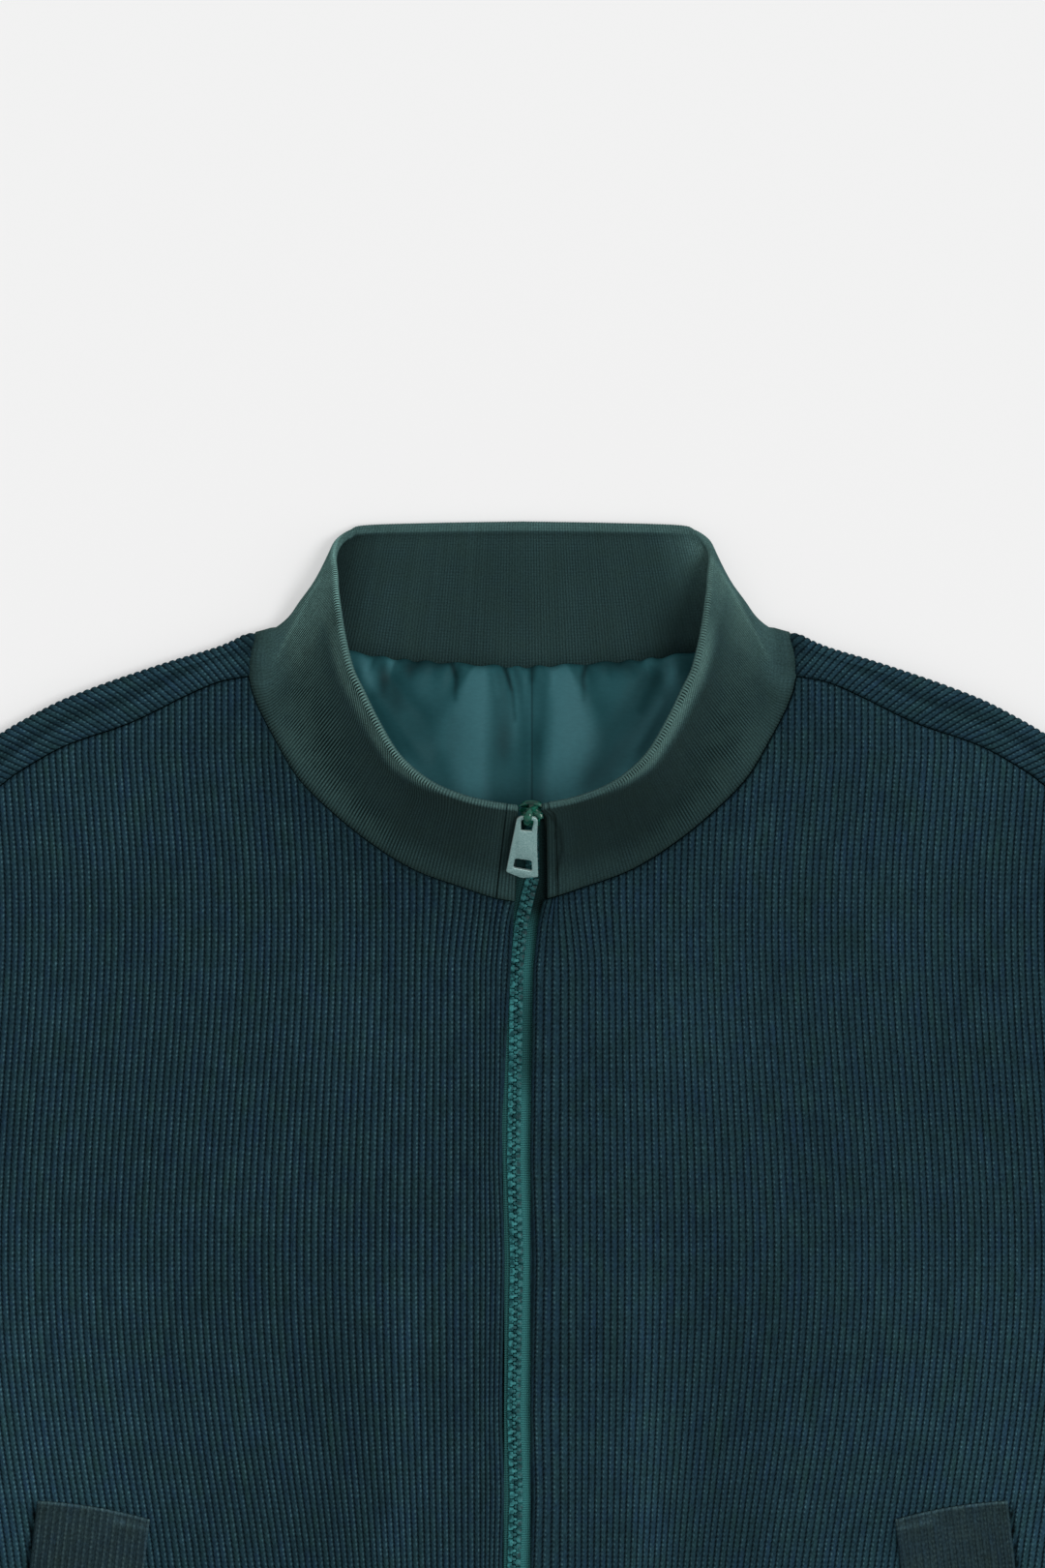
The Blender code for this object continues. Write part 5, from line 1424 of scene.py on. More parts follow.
# %% Panels, spots and lines of light
# Painted light and shade on the satin, by place: soft panels that widen below the seam
# (drops, inner and outer distances from the middle, side), then spots (x, drop, half sizes, strength)
PANELS = ((-1, (12, 16, 26, 36, 46, 58, 70), (14.0, 14.0, 13.6, 14.0, 14.6, 15.0, 14.6),
           (18.5, 22.0, 27.5, 32.5, 33.6, 28.0, 25.0)),
          (1, (12, 16, 26, 36, 46, 58, 70), (9.0, 10.6, 11.4, 11.4, 10.6, 9.4, 9.0),
           (18.0, 20.4, 25.5, 29.4, 30.0, 25.0, 22.0)))
SPOTS = ((-2.6, 30, 2.2, 15, 0.62), (1.4, 24, 1.7, 14, 0.34), (4.8, 33, 2.6, 12, 0.30),
         (-2.6, 17, 1.8, 6, 0.22), (-7.8, 44, 3.0, 9, -0.26), (6.2, 45, 2.2, 10, -0.34),
         (-53.8, 11.2, 2.4, 4.2, 1.00),
         (-65.8, 12.5, 2.4, 5.0, 0.75), (-63.6, 19, 2.6, 6.0, 0.85), (52.0, 11.0, 2.4, 4.2, 0.70),
         (60.5, 14.5, 3.0, 6.0, 0.90), (-44, 12.5, 7, 4.0, -0.50), (-35, 11, 5, 3.6, -0.42),
         (-38, 22, 8, 6, 0.16), (38, 22, 8, 6, 0.14), (42, 12.5, 7, 4.2, -0.50), (33, 12, 5, 4, -0.30),
         (-57.5, 20, 2.4, 8, -0.55), (-53, 28, 3.4, 7, -0.36),
         (-46.5, 15.6, 2.2, 4, -0.30), (62.0, 16, 2.8, 7, 0.70), (42, 47, 8, 13, 0.42),
         (-7.8, 49, 3.4, 6, -0.10), (-46, 40, 7, 10, -0.16), (41, 42, 7, 10, -0.16),
         (0.8, 60, 3.4, 14, -0.14), (-18, 62, 12, 8, 0.10), (17, 62, 12, 8, 0.10))
CREASE_LINES = ((57.5, 15, 48.5, 33, 2.6, -0.30), (-55.5, 17, -48, 32, 2.0, -0.10),
                (-29.8, 10, -27.3, 18, 1.3, -0.62), (-27.3, 18, -27.8, 28, 1.2, -0.50),
                (-7.6, 13, -4.0, 24, 1.0, -0.75), (-4.0, 24, -3.0, 36, 0.9, -0.60),
                (4.3, 13, 3.9, 20, 1.4, -0.40), (26.8, 11, 24.9, 18, 1.2, -0.55),
                (24.9, 18, 25.4, 28, 1.2, -0.42), (-61, 27, -42, 62, 2.6, 0.24),
                (58, 27, 40, 60, 2.6, 0.22), (-68, 14, -49, 52, 1.8, -0.22),
                (66, 14, 48, 50, 1.8, -0.20), (-12.5, 14, -9.8, 26, 1.4, 0.24),
                (13.5, 14, 11.5, 26, 1.4, 0.16))


def lining_light(x, drop):
    """One, plus soft panels between an inner and an outer edge, plus spots that are bells
    both ways, plus short lines that are bells across."""
    light = np.ones(np.broadcast(x, drop).shape)
    for side, drops, inner, outer in PANELS:
        a, b = np.interp(drop, drops, inner), np.interp(drop, drops, outer)
        soft = 1.2 + 3.4 * rise((drop - 16) / 16)
        out = side * x
        panel = rise((out - a) / (2.4 + soft) + 0.5) * (1 - rise((out - b) / (2.2 * soft) + 0.5))
        strong = (0.86 + 0.14 * rise((drop - 12) / 8)) * (1 - 0.6 * rise((drop - 62) / 18))
        light = light + 0.86 * panel * strong
    for at, where, wide, long, strong in SPOTS:
        light = light + strong * hill(x, at, wide) * hill(drop, where, long)
    for *line, wide, strong in CREASE_LINES:
        along, aside, left_over = beside_line(x, drop, *line)
        ends = rise(along / 3 + 0.5) * rise(left_over / 3 + 0.5)
        light = light + strong * hill(aside, 0, wide) * ends
    return light


def even_light(x, drop):
    """More light near the edge of the opening, where the collar's stand is in the lamp's
    way: a decay of the distance to the edge, strongest on the right."""
    away = np.full(np.broadcast(x, drop).shape, 1e9)
    for edge_x, edge_drop in COLLAR_EDGE[::12, :2]:
        away = np.minimum(away, np.hypot(np.abs(x) - edge_x, drop - edge_drop))
    right = rise((x + 8) / 40)
    strong = 0.45 * rise((drop - 38) / 26) * (1 - right) + 1.9 * right
    return 1 + strong * np.exp(-away / 7.5) * rise((drop - 12) / 16)


print("light on the satin's left gather", round(float(lining_light(-22.0, 30.0)), 2))

# %% The lining's surface
LINING_HALF, LINING_LOW, LINING_MIDDLE, CENTRE_SEAM = 90.0, 2.75, 6.2, 3.9


def lining_grid():
    """Rows from the neck seam down to where the lining goes out of sight."""
    x = LINING_HALF * np.linspace(-1, 1, 301)
    top = drop_on(NECK_BACK, np.abs(x)) - 0.6 + 0.5 * np.sin(x * 0.55 + 1.5 * np.sin(x * 0.13))
    low = 97 - 52 * (np.abs(x) / LINING_HALF) ** 2.6
    way = np.linspace(0, 1, 120)[:, None] ** 1.2
    drop = top + (low - top) * way
    folds = lining_folds(x, drop) * (1 - rise((drop - 66) / 26)) * (1 - rise((np.abs(x) - 72) / 12))
    z = np.maximum(LINING_MIDDLE + 0.70 * folds - 0.25 * hill(x, CENTRE_SEAM, 0.9), 3.1)
    z = z - 2.6 * np.exp(-np.maximum(drop - top, 0) / 1.2) * (z - 3.0) / 3.2
    z = 3.2 + (z - 3.2) * (1 - 0.8 * rise((np.abs(x) - 74) / 12)) * (1 - 0.9 * rise((drop - 80) / 15))
    pick = [-1, 0]
    grid = np.concatenate([metres(x, drop, z), metres(x, drop[pick], LINING_LOW)])
    rows = np.concatenate([drop, drop[pick]])
    cloth = np.stack(np.broadcast_arrays(x, rows), axis=-1)
    # painted light and shade: the panels, spots and lines, lighter on the high folds, painted light
    # near the opening's edge against the collar's shade, and a painted shade just under the neck seam
    tone = (lining_light(x, drop) + 0.03 * np.clip(folds, -3, 3.5)) * even_light(x, drop)
    tone = tone * (1 - 0.22 * np.exp(-np.maximum(drop - top, 0) / 1.2))
    tone = np.concatenate([np.maximum(tone, 0.3), np.ones((2, len(x)))])
    return grid, cloth, tone


grid, cloth, tone = lining_grid()
print("satin from drop", cloth[0, 150, 1].round(1), "to", cloth[-3, 150, 1].round(1), "mm")

# %% [markdown]
# ## The satin
# The lining is a polyester satin in teal: long floats of yarn lie side by side, so the
# cloth is smooth and its shine is soft and wide. The weave is far too fine to show, so
# only slubs, a slow mottle and the dark line of the centre seam are drawn.

# %% The satin finish
SATIN, shader, add = new_finish("lining_satin", Roughness=0.5, Specular_IOR_Level=0.05,
                                Sheen_Weight=0.06, Sheen_Tint=shade("6FA7AC"))
place_x, place_y, where = cloth_place(add)
seam = add("Math", (place_x, CENTRE_SEAM, 0.42), operation="COMPARE")
seam = add("Math", (seam, 0.50), operation="MULTIPLY")
weave = add("TexNoise", {"Vector": where, "Scale": 45.0, "Detail": 5.0})
slub = add("Mapping", {"Vector": where, "Scale": (400.0, 900.0, 400.0)})
slub = add("TexNoise", {"Vector": slub, "Scale": 1.0, "Detail": 2.0})
tone_here = add("Attribute", out="Fac", attribute_name="tone")
level = layered(add, tone_here, (slub, 0.95, 1.05))
dyed = add("Mix", {0: weave, 6: shade("1D474B"), 7: shade("204A50")}, 2, data_type="RGBA")
# a painted sheen: where the painted light is high, the dye goes greyer
highlight_mix = add("MapRange", (tone_here, 0.95, 1.9, 0.0, 1.0))
dyed = add("Mix", {0: highlight_mix, 6: dyed, 7: shade("26484D")}, 2, data_type="RGBA")
toned = add("VectorMath", {0: dyed, 3: level}, operation="SCALE")
sewn = add("Mix", {0: seam, 6: toned, 7: shade("12282B")}, 2, data_type="RGBA")
dress(shader, sewn, slub, 0.0001, 0.3)

# %% Making the lining
lining = cloth_piece("satin_lining", grid, cloth, SATIN, tone=tone)
stand_in(lining, "lining", "back_lining")

# %% [markdown]
# ## The zip
# Each side of the zip is a woven tape with moulded teeth set along its edge. A tooth is a
# block that grips the tape and a round head that fits between two heads of the other
# side. Hundreds of teeth are one small outline, repeated along the chain as whole arrays.

# %% Where the zip lies
CHAIN_WIDTH, CHAIN_THICK, TAPE_WIDTH = 5.7, 2.6, 12.0
ZIP_Z, ZIP_BELOW, ZIP_TOP, ZIP_FOOT, PITCH = 4.2, 2.9, 0.735, 655.0, 3.3


def zip_height(drop):
    """Height of the zip below the neck: it comes down from the collar as a decay."""
    neck = NECK_SEAM[0]
    return ZIP_Z + (neck[2] - ZIP_BELOW - ZIP_Z) * np.exp(-(drop - neck[1]) / 22.0)


def zip_route():
    """Middle of the chain with its outward direction, from the hem up into the collar."""
    low = np.linspace(ZIP_FOOT, 113, 300)
    flat = np.column_stack([zip_x(low), low, zip_height(low)])
    up = np.linspace(0.06, ZIP_TOP, 60)
    wall = collar_wall(np.zeros(60), up)
    out = unit(collar_ways(np.zeros(60), up)[0] * np.array([0, 1, 1]))
    tall = wall - out * ZIP_BELOW
    tall[:, 0] = zip_x(wall[:, 1])
    return np.vstack([flat, tall]), np.vstack([np.tile([0, 0, 1.0], (300, 1)), out])


ROUTE, ROUTE_OUT = zip_route()
ROUTE_WAY = np.concatenate([[0], np.cumsum(np.linalg.norm(np.diff(ROUTE, axis=0), axis=1))])


def on_route(way):
    """Place, outward, forward and sideways directions at lengths along the chain."""
    def read(lines, at):
        return np.column_stack([np.interp(at, ROUTE_WAY, line) for line in lines.T])

    spot, out = read(ROUTE, way), read(ROUTE_OUT, way)
    ahead = unit(read(ROUTE, way + 0.5) - read(ROUTE, way - 0.5))
    out = unit(out - (out * ahead).sum(axis=1)[:, None] * ahead)
    across = np.cross(ahead, out)
    return spot, out, ahead, across * np.sign(across[:, :1])


print("the chain is", round(float(ROUTE_WAY[-1])), "mm long")

# %% [markdown]
# ## Zip tapes
# A zip tape is a narrow plain weave, one to a side, and the teeth are moulded on to its
# thick edge. It is a ribbon carried along the chain's route. Its threads are a product of
# sines, drawn about twice as coarse as real ones so that they show.

# %% The ribbon beside the chain
def zip_strip_grid(near, far, thick, columns):
    """A woven strip beside the chain, with a row every 2 mm and a thin wall."""
    way = np.linspace(0.5, ROUTE_WAY[-1] - 0.5, 330)
    spot, out, ahead, across = on_route(way)
    offset = np.linspace(near, far, columns)
    middle = spot[:, None] + across[:, None] * offset[None, :, None]
    half = out[:, None] * thick / 2
    points = np.concatenate([middle + half, (middle - half)[::-1]])
    rows = np.concatenate([way, way[::-1]])[:, None]
    cloth = np.stack(np.broadcast_arrays(np.abs(offset), rows), axis=-1)
    left = (near + far < 0) * 1.0
    drop = points[..., 1]
    # painted shade: the tape is darker up by the neck, where the collar and the facings shade it, and
    # darker away from the teeth, under the edges of the fronts; lighter lower down
    tone = 1 + 0.25 * left * rise((drop - 140) / 20)
    tone = tone + (1 - left) * (0.8 * hill(drop, 138, 12) + 1.2 * rise((drop - 178) / 20))
    tone = tone * (1 - (0.86 - 0.30 * left) * (1 - rise((drop - 112) / 10)))
    tone = tone * (1.2 - 0.4 * rise((np.abs(offset) - 2.9) / 2.4))
    return laid(points), cloth, tone


print("a tape shows", TAPE_WIDTH, "mm beside the teeth")

# %% The tapes
THREAD_ALONG, THREAD_ACROSS, TAPE_UNDER = 0.7, 0.9, 1.6
TAPE, shader, add = new_finish("woven_zip_tape", Roughness=0.8, Specular_IOR_Level=0.08,
                               Sheen_Weight=0.1, Sheen_Tint=shade("5C9C98"))
place_x, place_y, where = cloth_place(add)
thread = add("Math", (place_y, 2 * math.pi / THREAD_ALONG), operation="MULTIPLY")
thread = add("Math", (thread,), operation="SINE")
warp = add("Math", (place_x, 2 * math.pi / THREAD_ACROSS), operation="MULTIPLY")
warp = add("Math", (warp,), operation="SINE")
weave = add("Math", (warp, 0.35, thread), operation="MULTIPLY_ADD")
level = add("MapRange", (weave, -1.3, 1.3, 0.0, 1.0))
woven = add("Mix", {0: level, 6: shade("0D2C2F"), 7: shade("2F6362")}, 2, data_type="RGBA")
tone_here = add("Attribute", out="Fac", attribute_name="tone")
toned = add("VectorMath", {0: woven, 3: tone_here}, operation="SCALE")
dress(shader, toned, weave, 0.0002, 0.8)

for title, side in SIDES:
    near, far = CHAIN_WIDTH / 2 - TAPE_UNDER, CHAIN_WIDTH / 2 + TAPE_WIDTH
    grid, cloth, tone = zip_strip_grid(side * near, side * far, 0.8, 11)
    strip = cloth_piece("woven_tape_" + title, grid, cloth, TAPE, tone=tone)
    stand_in(strip, "zip_tape", "zip_tape_" + title)

# %% [markdown]
# ## Teeth
# The teeth are acetal, moulded round the tape's edge, one side shifted by half a pitch. Each
# is a block with a head, a stack of four like outlines. Acetal is a little waxy, so its
# shine is broken, and its colour goes from dark to light in small patches, the light ones painted
# highlights on the heads.

# %% The teeth
def teeth_of(side, first):
    """Repeat the tooth along the chain: place + across x + ahead y + out z."""
    outline = np.array([(-2.85, -1.50), (-0.95, -1.50), (-0.72, -0.6), (0.0, -0.78),
                        (0.62, -0.55), (0.80, 0), (0.62, 0.55), (0.0, 0.78), (-0.72, 0.6),
                        (-0.95, 1.50), (-2.85, 1.50)])
    half = CHAIN_THICK / 2
    form, quads, lids = stacked(outline, [(1.0, -half), (1.0, 0.55 * half), (0.94, 0.90 * half),
                                          (0.80, half)])
    way = np.arange(first, ROUTE_WAY[-1] - 2.0, PITCH)
    spot, out, ahead, across = on_route(way)
    x, y, z = (form[None, :, k, None] for k in range(3))
    points = spot[:, None] + across[:, None] * x * (-side) + ahead[:, None] * y + out[:, None] * z
    shift = (np.arange(len(way)) * len(form))[:, None, None]
    faces = ((quads + shift).reshape(-1, 4).tolist()
             + (lids + shift).reshape(-1, len(outline)).tolist())
    return laid(points).reshape(-1, 3), faces


def tooth_tone(points, share):
    """Painted shade: darker up in the collar's shade, read by the drop of each point, times the share
    for the side.
    """
    drop = SHOULDER_Y - points[:, 1] / MM
    return share * np.interp(drop, [100, 113, 124, 160], [0.55, 0.60, 0.74, 1.0])


ACETAL, shader, add = new_finish("moulded_acetal", Roughness=0.38, Specular_IOR_Level=0.14)
# the light patches are painted highlights on the heads
patch = add("TexNoise", {"Vector": add("TexCoord", out="Object"), "Scale": 620.0, "Detail": 4.0})
level = add("MapRange", (patch, 0.40, 0.66, 0.0, 1.0))
dyed = add("Mix", {0: level, 6: shade("0F4044"), 7: shade("3A8486")}, 2, data_type="RGBA")
tone_here = add("Attribute", out="Fac", attribute_name="tone")
toned = add("VectorMath", {0: dyed, 3: tone_here}, operation="SCALE")
dress(shader, toned, patch, 0.0003, 0.7)

parts = [teeth_of(-1, 2.0), teeth_of(1, 2.0 + PITCH / 2)]
# the right-hand teeth are painted darker too, as shade
tone = np.concatenate([tooth_tone(parts[0][0], 1.0), tooth_tone(parts[1][0], 0.70)])
stand_in(joined("zip_teeth", parts, ACETAL, tone=tone), "zip_teeth", "zip_chain")

# %% [markdown]
# ## Slider
# The slider is die-cast zinc with a glossy green paint: two plates round the chain, and
# over them a bridge, a strap that swells and narrows to a tongue under the tab's loop, with
# a lobe at each side. Each plate is a block of a few rings, and each strap is a bent tube
# with an oval section.

# %% Shapes of the slider
def bent_tube(path, wide, thick, sides=14, count=28):
    """Closed tube along a smooth path: middle plus side times wide times cosine plus
    height times thick times sine, both sizes following their lists."""
    line = smooth_line(path, count)
    share = np.linspace(0, 1, count)
    size_w = np.interp(share, np.linspace(0, 1, len(wide)), wide)
    size_t = np.interp(share, np.linspace(0, 1, len(thick)), thick)
    ends = np.sqrt(1 - np.clip(np.abs(2 * share - 1) - 0.8, 0, 0.2) ** 2 / 0.0404)
    way = unit(np.gradient(line, axis=0))
    aside = unit(np.cross(way, np.array([0, 0, 1.0])))
    above = np.cross(aside, way)
    turn = np.linspace(0, 2 * math.pi, sides, endpoint=False)
    ring = (aside[:, None] * (size_w * ends)[:, None, None] * np.cos(turn)[None, :, None]
            + above[:, None] * (size_t * ends)[:, None, None] * np.sin(turn)[None, :, None])
    quads, lids = ring_faces(count, sides)
    return laid((line[:, None] + ring).reshape(-1, 3)), quads.tolist() + lids.tolist()


def rounded_block(outline, low, high, round_by, spot, out, rising):
    """Closed plate over an outline, from rings that shrink by the rounding at top and
    bottom, set at a spot with its own upright and outward ways."""
    size = np.abs(outline - outline.mean(axis=0)).max()
    points, quads, lids = stacked(outline, [
        (1 - round_by / size, low), (1, low + round_by), (1, high - round_by),
        (1 - 0.4 * round_by / size, high - 0.3 * round_by), (1 - 1.3 * round_by / size, high)])
    points = spot + points @ np.array([[1.0, 0, 0], rising, out])
    return laid(points), quads.tolist() + lids.tolist()


def zip_frame(up):
    """Where the zip crosses the collar at a height up its wall, the way out of the wall and
    the way up it, both square to level."""
    out = unit(collar_ways(0.0, up)[0] * np.array([0, 1, 1]))
    rising = np.cross([1.0, 0, 0], out)
    rising *= -np.sign(rising[1])
    spot = collar_wall(0.0, up) - out * ZIP_BELOW
    spot[0] = zip_x(spot[1])
    return spot, out, rising


print("under the slider the zip rises", zip_frame(0.8)[2][2].round(2), "mm for each mm up")

# %% The slider's paint
PAINT, shader, add = new_finish("green_enamel", Roughness=0.20, Specular_IOR_Level=0.30,
                                Coat_Weight=0.15, Coat_Roughness=0.05)
patch = add("TexNoise", {"Vector": add("TexCoord", out="Object"), "Scale": 420.0, "Detail": 4.0})
level = add("MapRange", (patch, 0.35, 0.65, 0.0, 1.0))
dyed = add("Mix", {0: level, 6: shade("0A2E28"), 7: shade("1B6350")}, 2, data_type="RGBA")
dress(shader, dyed, patch, 0.0003, 0.6)

# %% The slider
SLIDER_SHARE, SLIDER_ASIDE = 0.80, 0.2
spot, slider_out, slider_up = zip_frame(SLIDER_SHARE)
spot[0] += SLIDER_ASIDE
half_body = np.array([(0, 5.6), (2.2, 5.3), (4.1, 4.3), (4.4, 2.9), (4.0, 1.0), (3.5, -1.4),
                      (3.4, -4.6), (2.6, -5.4), (1.0, -5.6)])
plan = np.vstack([half_body, half_body[:0:-1] * [-1, 1]])
diamond = np.array([(-1.0, 5.0), (1.0, 5.0), (0.5, 1.5), (-0.5, 1.5)])
# Two plates and the wedge that joins them between the two rows of teeth
blocks = ((plan, -2.8, -1.0, 0.5), (plan, 1.0, 2.8, 0.5), (diamond, -1.6, 1.6, 0.2))
parts = [rounded_block(*block, spot, slider_out, slider_up) for block in blocks]
# Each strap: its path (x, drop, height), half widths and half thicknesses along it
STRAPS = (
    ([(7.0, 70.6, 36.4), (5.6, 71.4, 37.0), (4.5, 72.2, 37.8), (3.1, 73.4, 40.2),
      (2.3, 75.2, 40.4), (2.0, 77.2, 38.8), (2.0, 78.9, 36.6)],
     (0.6, 1.0, 1.2, 1.2, 1.8, 1.5, 0.4), (0.4, 0.6, 0.6, 0.7, 0.8, 0.7, 0.4)),
    ([(-1.5, 72.6, 35.0), (-0.6, 72.7, 35.2), (0.7, 72.6, 36.8), (2.4, 72.6, 38.6)],
     (0.7, 1.0, 0.9, 0.8), (0.5, 0.6, 0.6, 0.6)),
    ([(3.0, 72.6, 38.2), (4.0, 72.6, 36.2), (5.4, 73.5, 34.8), (7.2, 75.0, 34.4),
      (7.6, 76.4, 34.2)],
     (0.8, 0.9, 1.2, 1.5, 0.7), (0.6, 0.6, 0.5, 0.5, 0.5)),
    ([(-1.8, 71.2, 37.0), (0.2, 70.3, 37.6), (2.6, 69.9, 37.8), (5.2, 70.0, 37.8),
      (8.2, 71.0, 37.4), (10.8, 72.8, 36.6)],
     (0.3, 0.6, 0.65, 0.65, 0.9, 0.5), (0.5, 0.8, 0.9, 0.9, 0.8, 0.4)))
parts += [bent_tube(*strap) for strap in STRAPS]
stand_in(joined("zip_slider_painted", parts, PAINT), "slider_paint", "zip_slider")

# %% [markdown]
# ## Pull tab
# The tab is a stamped zinc plate with a pale satin plating, a loop that hangs on the
# bridge and a window at its wide end. It is drawn flat as one curve with two holes, given
# a thickness and a rounded edge, turned into a mesh and laid down the front of the collar.
# Edges are painted brighter, as a highlight; the face is speckled by the tumbling of the plating.

# %% The tab's plating
PLATE, shader, add = new_finish("satin_plate", Roughness=0.36, Metallic=0.55)
grit = add("TexNoise", {"Vector": add("TexCoord", out="Object"), "Scale": 1700.0, "Detail": 4.0,
                        "Roughness": 0.65})
level = add("MapRange", (grit, 0.35, 0.65, 0.0, 1.0))
plated = add("Mix", {0: level, 6: shade("6C9190"), 7: shade("92B2B0")}, 2, data_type="RGBA")
worn_here = add("Attribute", out="Fac", attribute_name="worn")
edged = add("Mix", {0: worn_here, 6: plated, 7: shade("C4DEDB")}, 2, data_type="RGBA")
dress(shader, edged, grit, 0.00015, 0.6)


# %% Drawing a stamped plate
def rounded_ring(corners, radius, steps=5):
    """A closed outline with every corner cut to a smooth bend of about the radius."""
    corners = np.asarray(corners, float)
    before, after = np.roll(corners, 1, axis=0), np.roll(corners, -1, axis=0)
    reach = np.broadcast_to(radius, (len(corners),))[:, None]
    start = corners + unit(before - corners) * reach
    end = corners + unit(after - corners) * reach
    t = np.linspace(0, 1, steps)[None, :, None]
    bend = (1 - t) ** 2 * start[:, None] + 2 * t * (1 - t) * corners[:, None]
    return (bend + t ** 2 * end[:, None]).reshape(-1, 2)


def flat_plate(name, rings, thick, edge):
    """Mesh of a flat curve with holes, extruded and bevelled, with its doubles merged."""
    curve = bpy.data.curves.new(name, "CURVE")
    curve.dimensions, curve.fill_mode = "2D", "BOTH"
    curve.extrude, curve.bevel_depth, curve.bevel_resolution = thick / 2 - edge, edge, 2
    for ring in rings:
        line = curve.splines.new("POLY")
        line.points.add(len(ring) - 1)
        flat = np.column_stack([ring, np.zeros(len(ring)), np.ones(len(ring))])
        line.points.foreach_set("co", flat.ravel())
        line.use_cyclic_u = True
    holder = bpy.data.objects.new(name + "_curve", curve)
    mesh = bpy.data.meshes.new_from_object(holder)
    bpy.data.objects.remove(holder)
    bpy.data.curves.remove(curve)
    # the bevelled cap and its rim are made apart, a hair from each other
    work = bmesh.new()
    work.from_mesh(mesh)
    bmesh.ops.remove_doubles(work, verts=work.verts, dist=0.003)
    bmesh.ops.recalc_face_normals(work, faces=work.faces)
    work.to_mesh(mesh)
    work.free()
    return mesh


outer = rounded_ring([(2.7, -0.15), (3.75, 1.2), (4.0, 8), (4.6, 16), (6.1, 30.4), (-0.3, 31.4),
                      (-6.7, 28.7), (-4.4, 1.2), (-3.2, -0.15)],
                     (0.7, 0.7, 1, 1, 0.5, 1.2, 0.5, 0.7, 0.7))
loop = rounded_ring([(2.1, 0.75), (2.75, 1.7), (2.25, 7.2), (-2.75, 7.2), (-3.1, 1.7),
                     (-2.5, 0.75)], 0.4)
window = rounded_ring([(3.3, 21.9), (4.1, 28.2), (-4.6, 26.9), (-4.1, 21.2)], 1.4)
TAB_THICK, TAB_EDGE = 1.3, 0.28
mesh = flat_plate("pull_tab_plate", [outer, loop, window], TAB_THICK, TAB_EDGE)
flat = np.empty(len(mesh.vertices) * 3)
mesh.vertices.foreach_get("co", flat)
flat = flat.reshape(-1, 3)
# only the bevel between a face and the rim gets the painted highlight
worn = rise((0.62 - np.abs(flat[:, 2])) / 0.12)
print("tab drawn flat", np.ptp(flat, axis=0).round(1), "mm")

# %% Laying the tab down the collar
TAB_SHARE, TAB_TURN, TAB_ASIDE = 0.875, math.radians(-4.3), 1.1
HINGE_UP, HINGE_OUT = 0.6, 5.2
# Half the collar, the clearance over it and half the tab, at the low end of the tab
REST_SHARE, REST_OUT = 0.16, 1.7 + 0.45 + 0.65
hinge, tab_out, tab_up = zip_frame(TAB_SHARE)
hinge = hinge + tab_up * HINGE_UP + tab_out * HINGE_OUT
rest, rest_out, _ = zip_frame(REST_SHARE)
rest = rest + rest_out * (ZIP_BELOW + REST_OUT)
down = unit((rest - hinge) * np.array([0, 1, 1]))
level_way = np.array([1.0, 0, 0])
facing_up = np.cross(down, level_way)
facing_up *= np.sign(facing_up[2])
long_way = down * math.cos(TAB_TURN) + level_way * math.sin(TAB_TURN)
wide_way = level_way * math.cos(TAB_TURN) - down * math.sin(TAB_TURN)
points = hinge - TAB_ASIDE * level_way + flat @ np.array([wide_way, long_way, facing_up])
mesh.vertices.foreach_set("co", laid(points).ravel())
work = bmesh.new()
work.from_mesh(mesh)
if work.calc_volume(signed=True) < 0:
    bmesh.ops.reverse_faces(work, faces=work.faces)
open_edges = sum(1 for e in work.edges if not e.is_manifold)
work.to_mesh(mesh)
work.free()
tab = shown(mesh, PLATE, sharp=40, worn=worn)
stand_in(tab, "tab_metal", "pull_tab", body="pull_tab")
print("the tab has", open_edges, "open edges")

# %% [markdown]
# ## Table, light and camera
# Clothes are often pictured on an opal light table: it glows from below, so shadows on it
# stay faint. A white room fills the folds, a little more from the left, and one broad lamp
# from the right casts a soft shadow to the left. The camera hangs straight above, far away
# with a long lens, so that nothing leans.

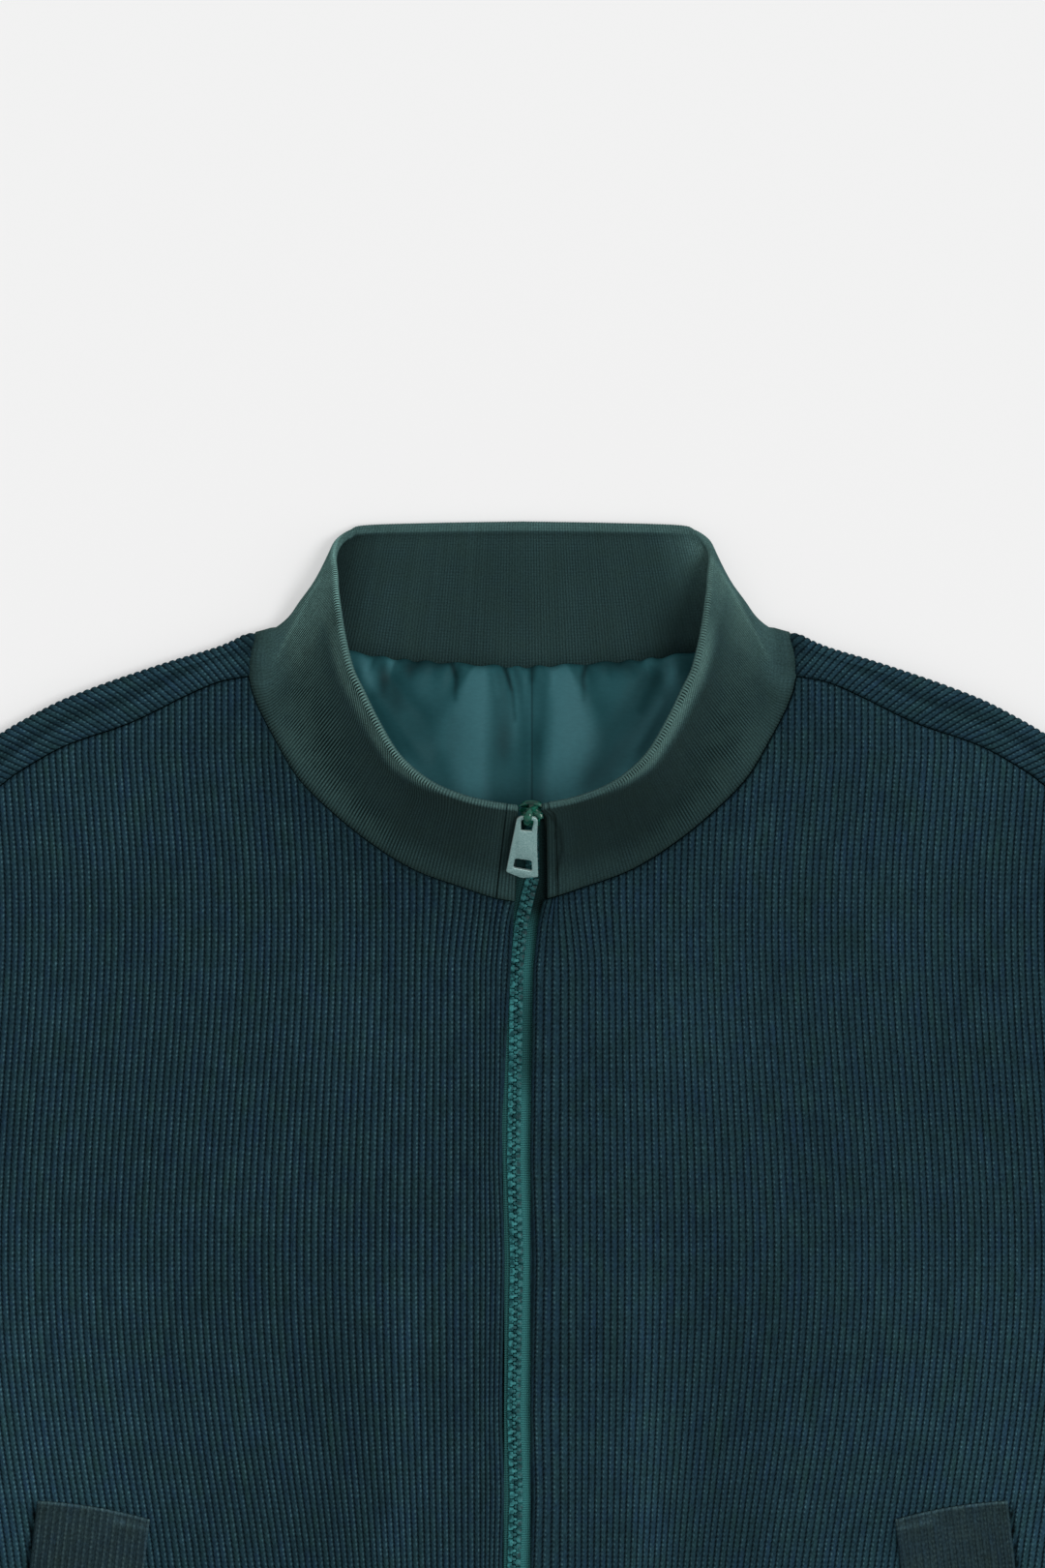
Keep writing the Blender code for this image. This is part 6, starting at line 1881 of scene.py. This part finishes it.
# %% Table
TABLE_HALF, TABLE_Z = 6.0, -0.0008
table_mesh = bpy.data.meshes.new("table")
table_mesh.from_pydata([(x * TABLE_HALF, y * TABLE_HALF, TABLE_Z)
                        for x, y in ((-1, -1), (1, -1), (1, 1), (-1, 1))], [], [(0, 1, 2, 3)])
table_top = bpy.data.objects.new("table_top", table_mesh)
bpy.context.scene.collection.objects.link(table_top)
glow = (1.0, 1.0, 1.0, 1.0)
table_mesh.materials.append(new_finish(
    "opal_light_table", Roughness=1.0, Specular_IOR_Level=0.0,
    Base_Color=(0.42, 0.42, 0.42, 1.0), Emission_Color=glow, Emission_Strength=0.466)[0])
print("table", 2 * TABLE_HALF, "m wide")

# %% Light
world = bpy.data.worlds.new("white_room")
world.use_nodes = True
room = world.node_tree
sky = room.nodes["Background"]
sky.inputs[0].default_value = glow
sideways = node(room, "SeparateXYZ", (node(room, "TexCoord", out="Generated"),))
level = node(room, "Math", (sideways, 0.26, 0.62), operation="MULTIPLY_ADD")
room.links.new(level, sky.inputs[1])
bpy.context.scene.world = world
lamp = bpy.data.lights.new("broad_lamp", "SUN")
lamp.energy, lamp.angle = 1.40, math.radians(26)
lamp_object = bpy.data.objects.new("broad_lamp", lamp)
lamp_object.rotation_euler = (math.radians(6), math.radians(31), 0)
bpy.context.scene.collection.objects.link(lamp_object)
print("lamp", round(lamp.energy, 2), "at 31 degrees to the right")

# %% Camera
# Millimetres a pixel, the picture's height and middle row, and the shoulder's own row
PIXEL, PICTURE_TALL, MIDDLE_ROW, SHOULDER_ROW = 0.40, 1620, 810, 655
FAR, FOCUS_Z = 4000.0, 8.0
camera = bpy.data.cameras.new("overhead")
camera.sensor_fit = "AUTO"
camera.sensor_width = 36.0
camera.lens = 36.0 * FAR / (PICTURE_TALL * PIXEL)
camera.clip_end = 100.0
camera_object = bpy.data.objects.new("overhead", camera)
camera_object.location = (0.0, (SHOULDER_Y - (MIDDLE_ROW - SHOULDER_ROW) * PIXEL) * MM,
                          (FAR + FOCUS_Z) * MM)
bpy.context.scene.collection.objects.link(camera_object)
bpy.context.scene.camera = camera_object
bpy.context.scene.view_settings.view_transform = "Standard"
print("camera at", tuple(camera_object.location), "lens", round(camera.lens, 1))
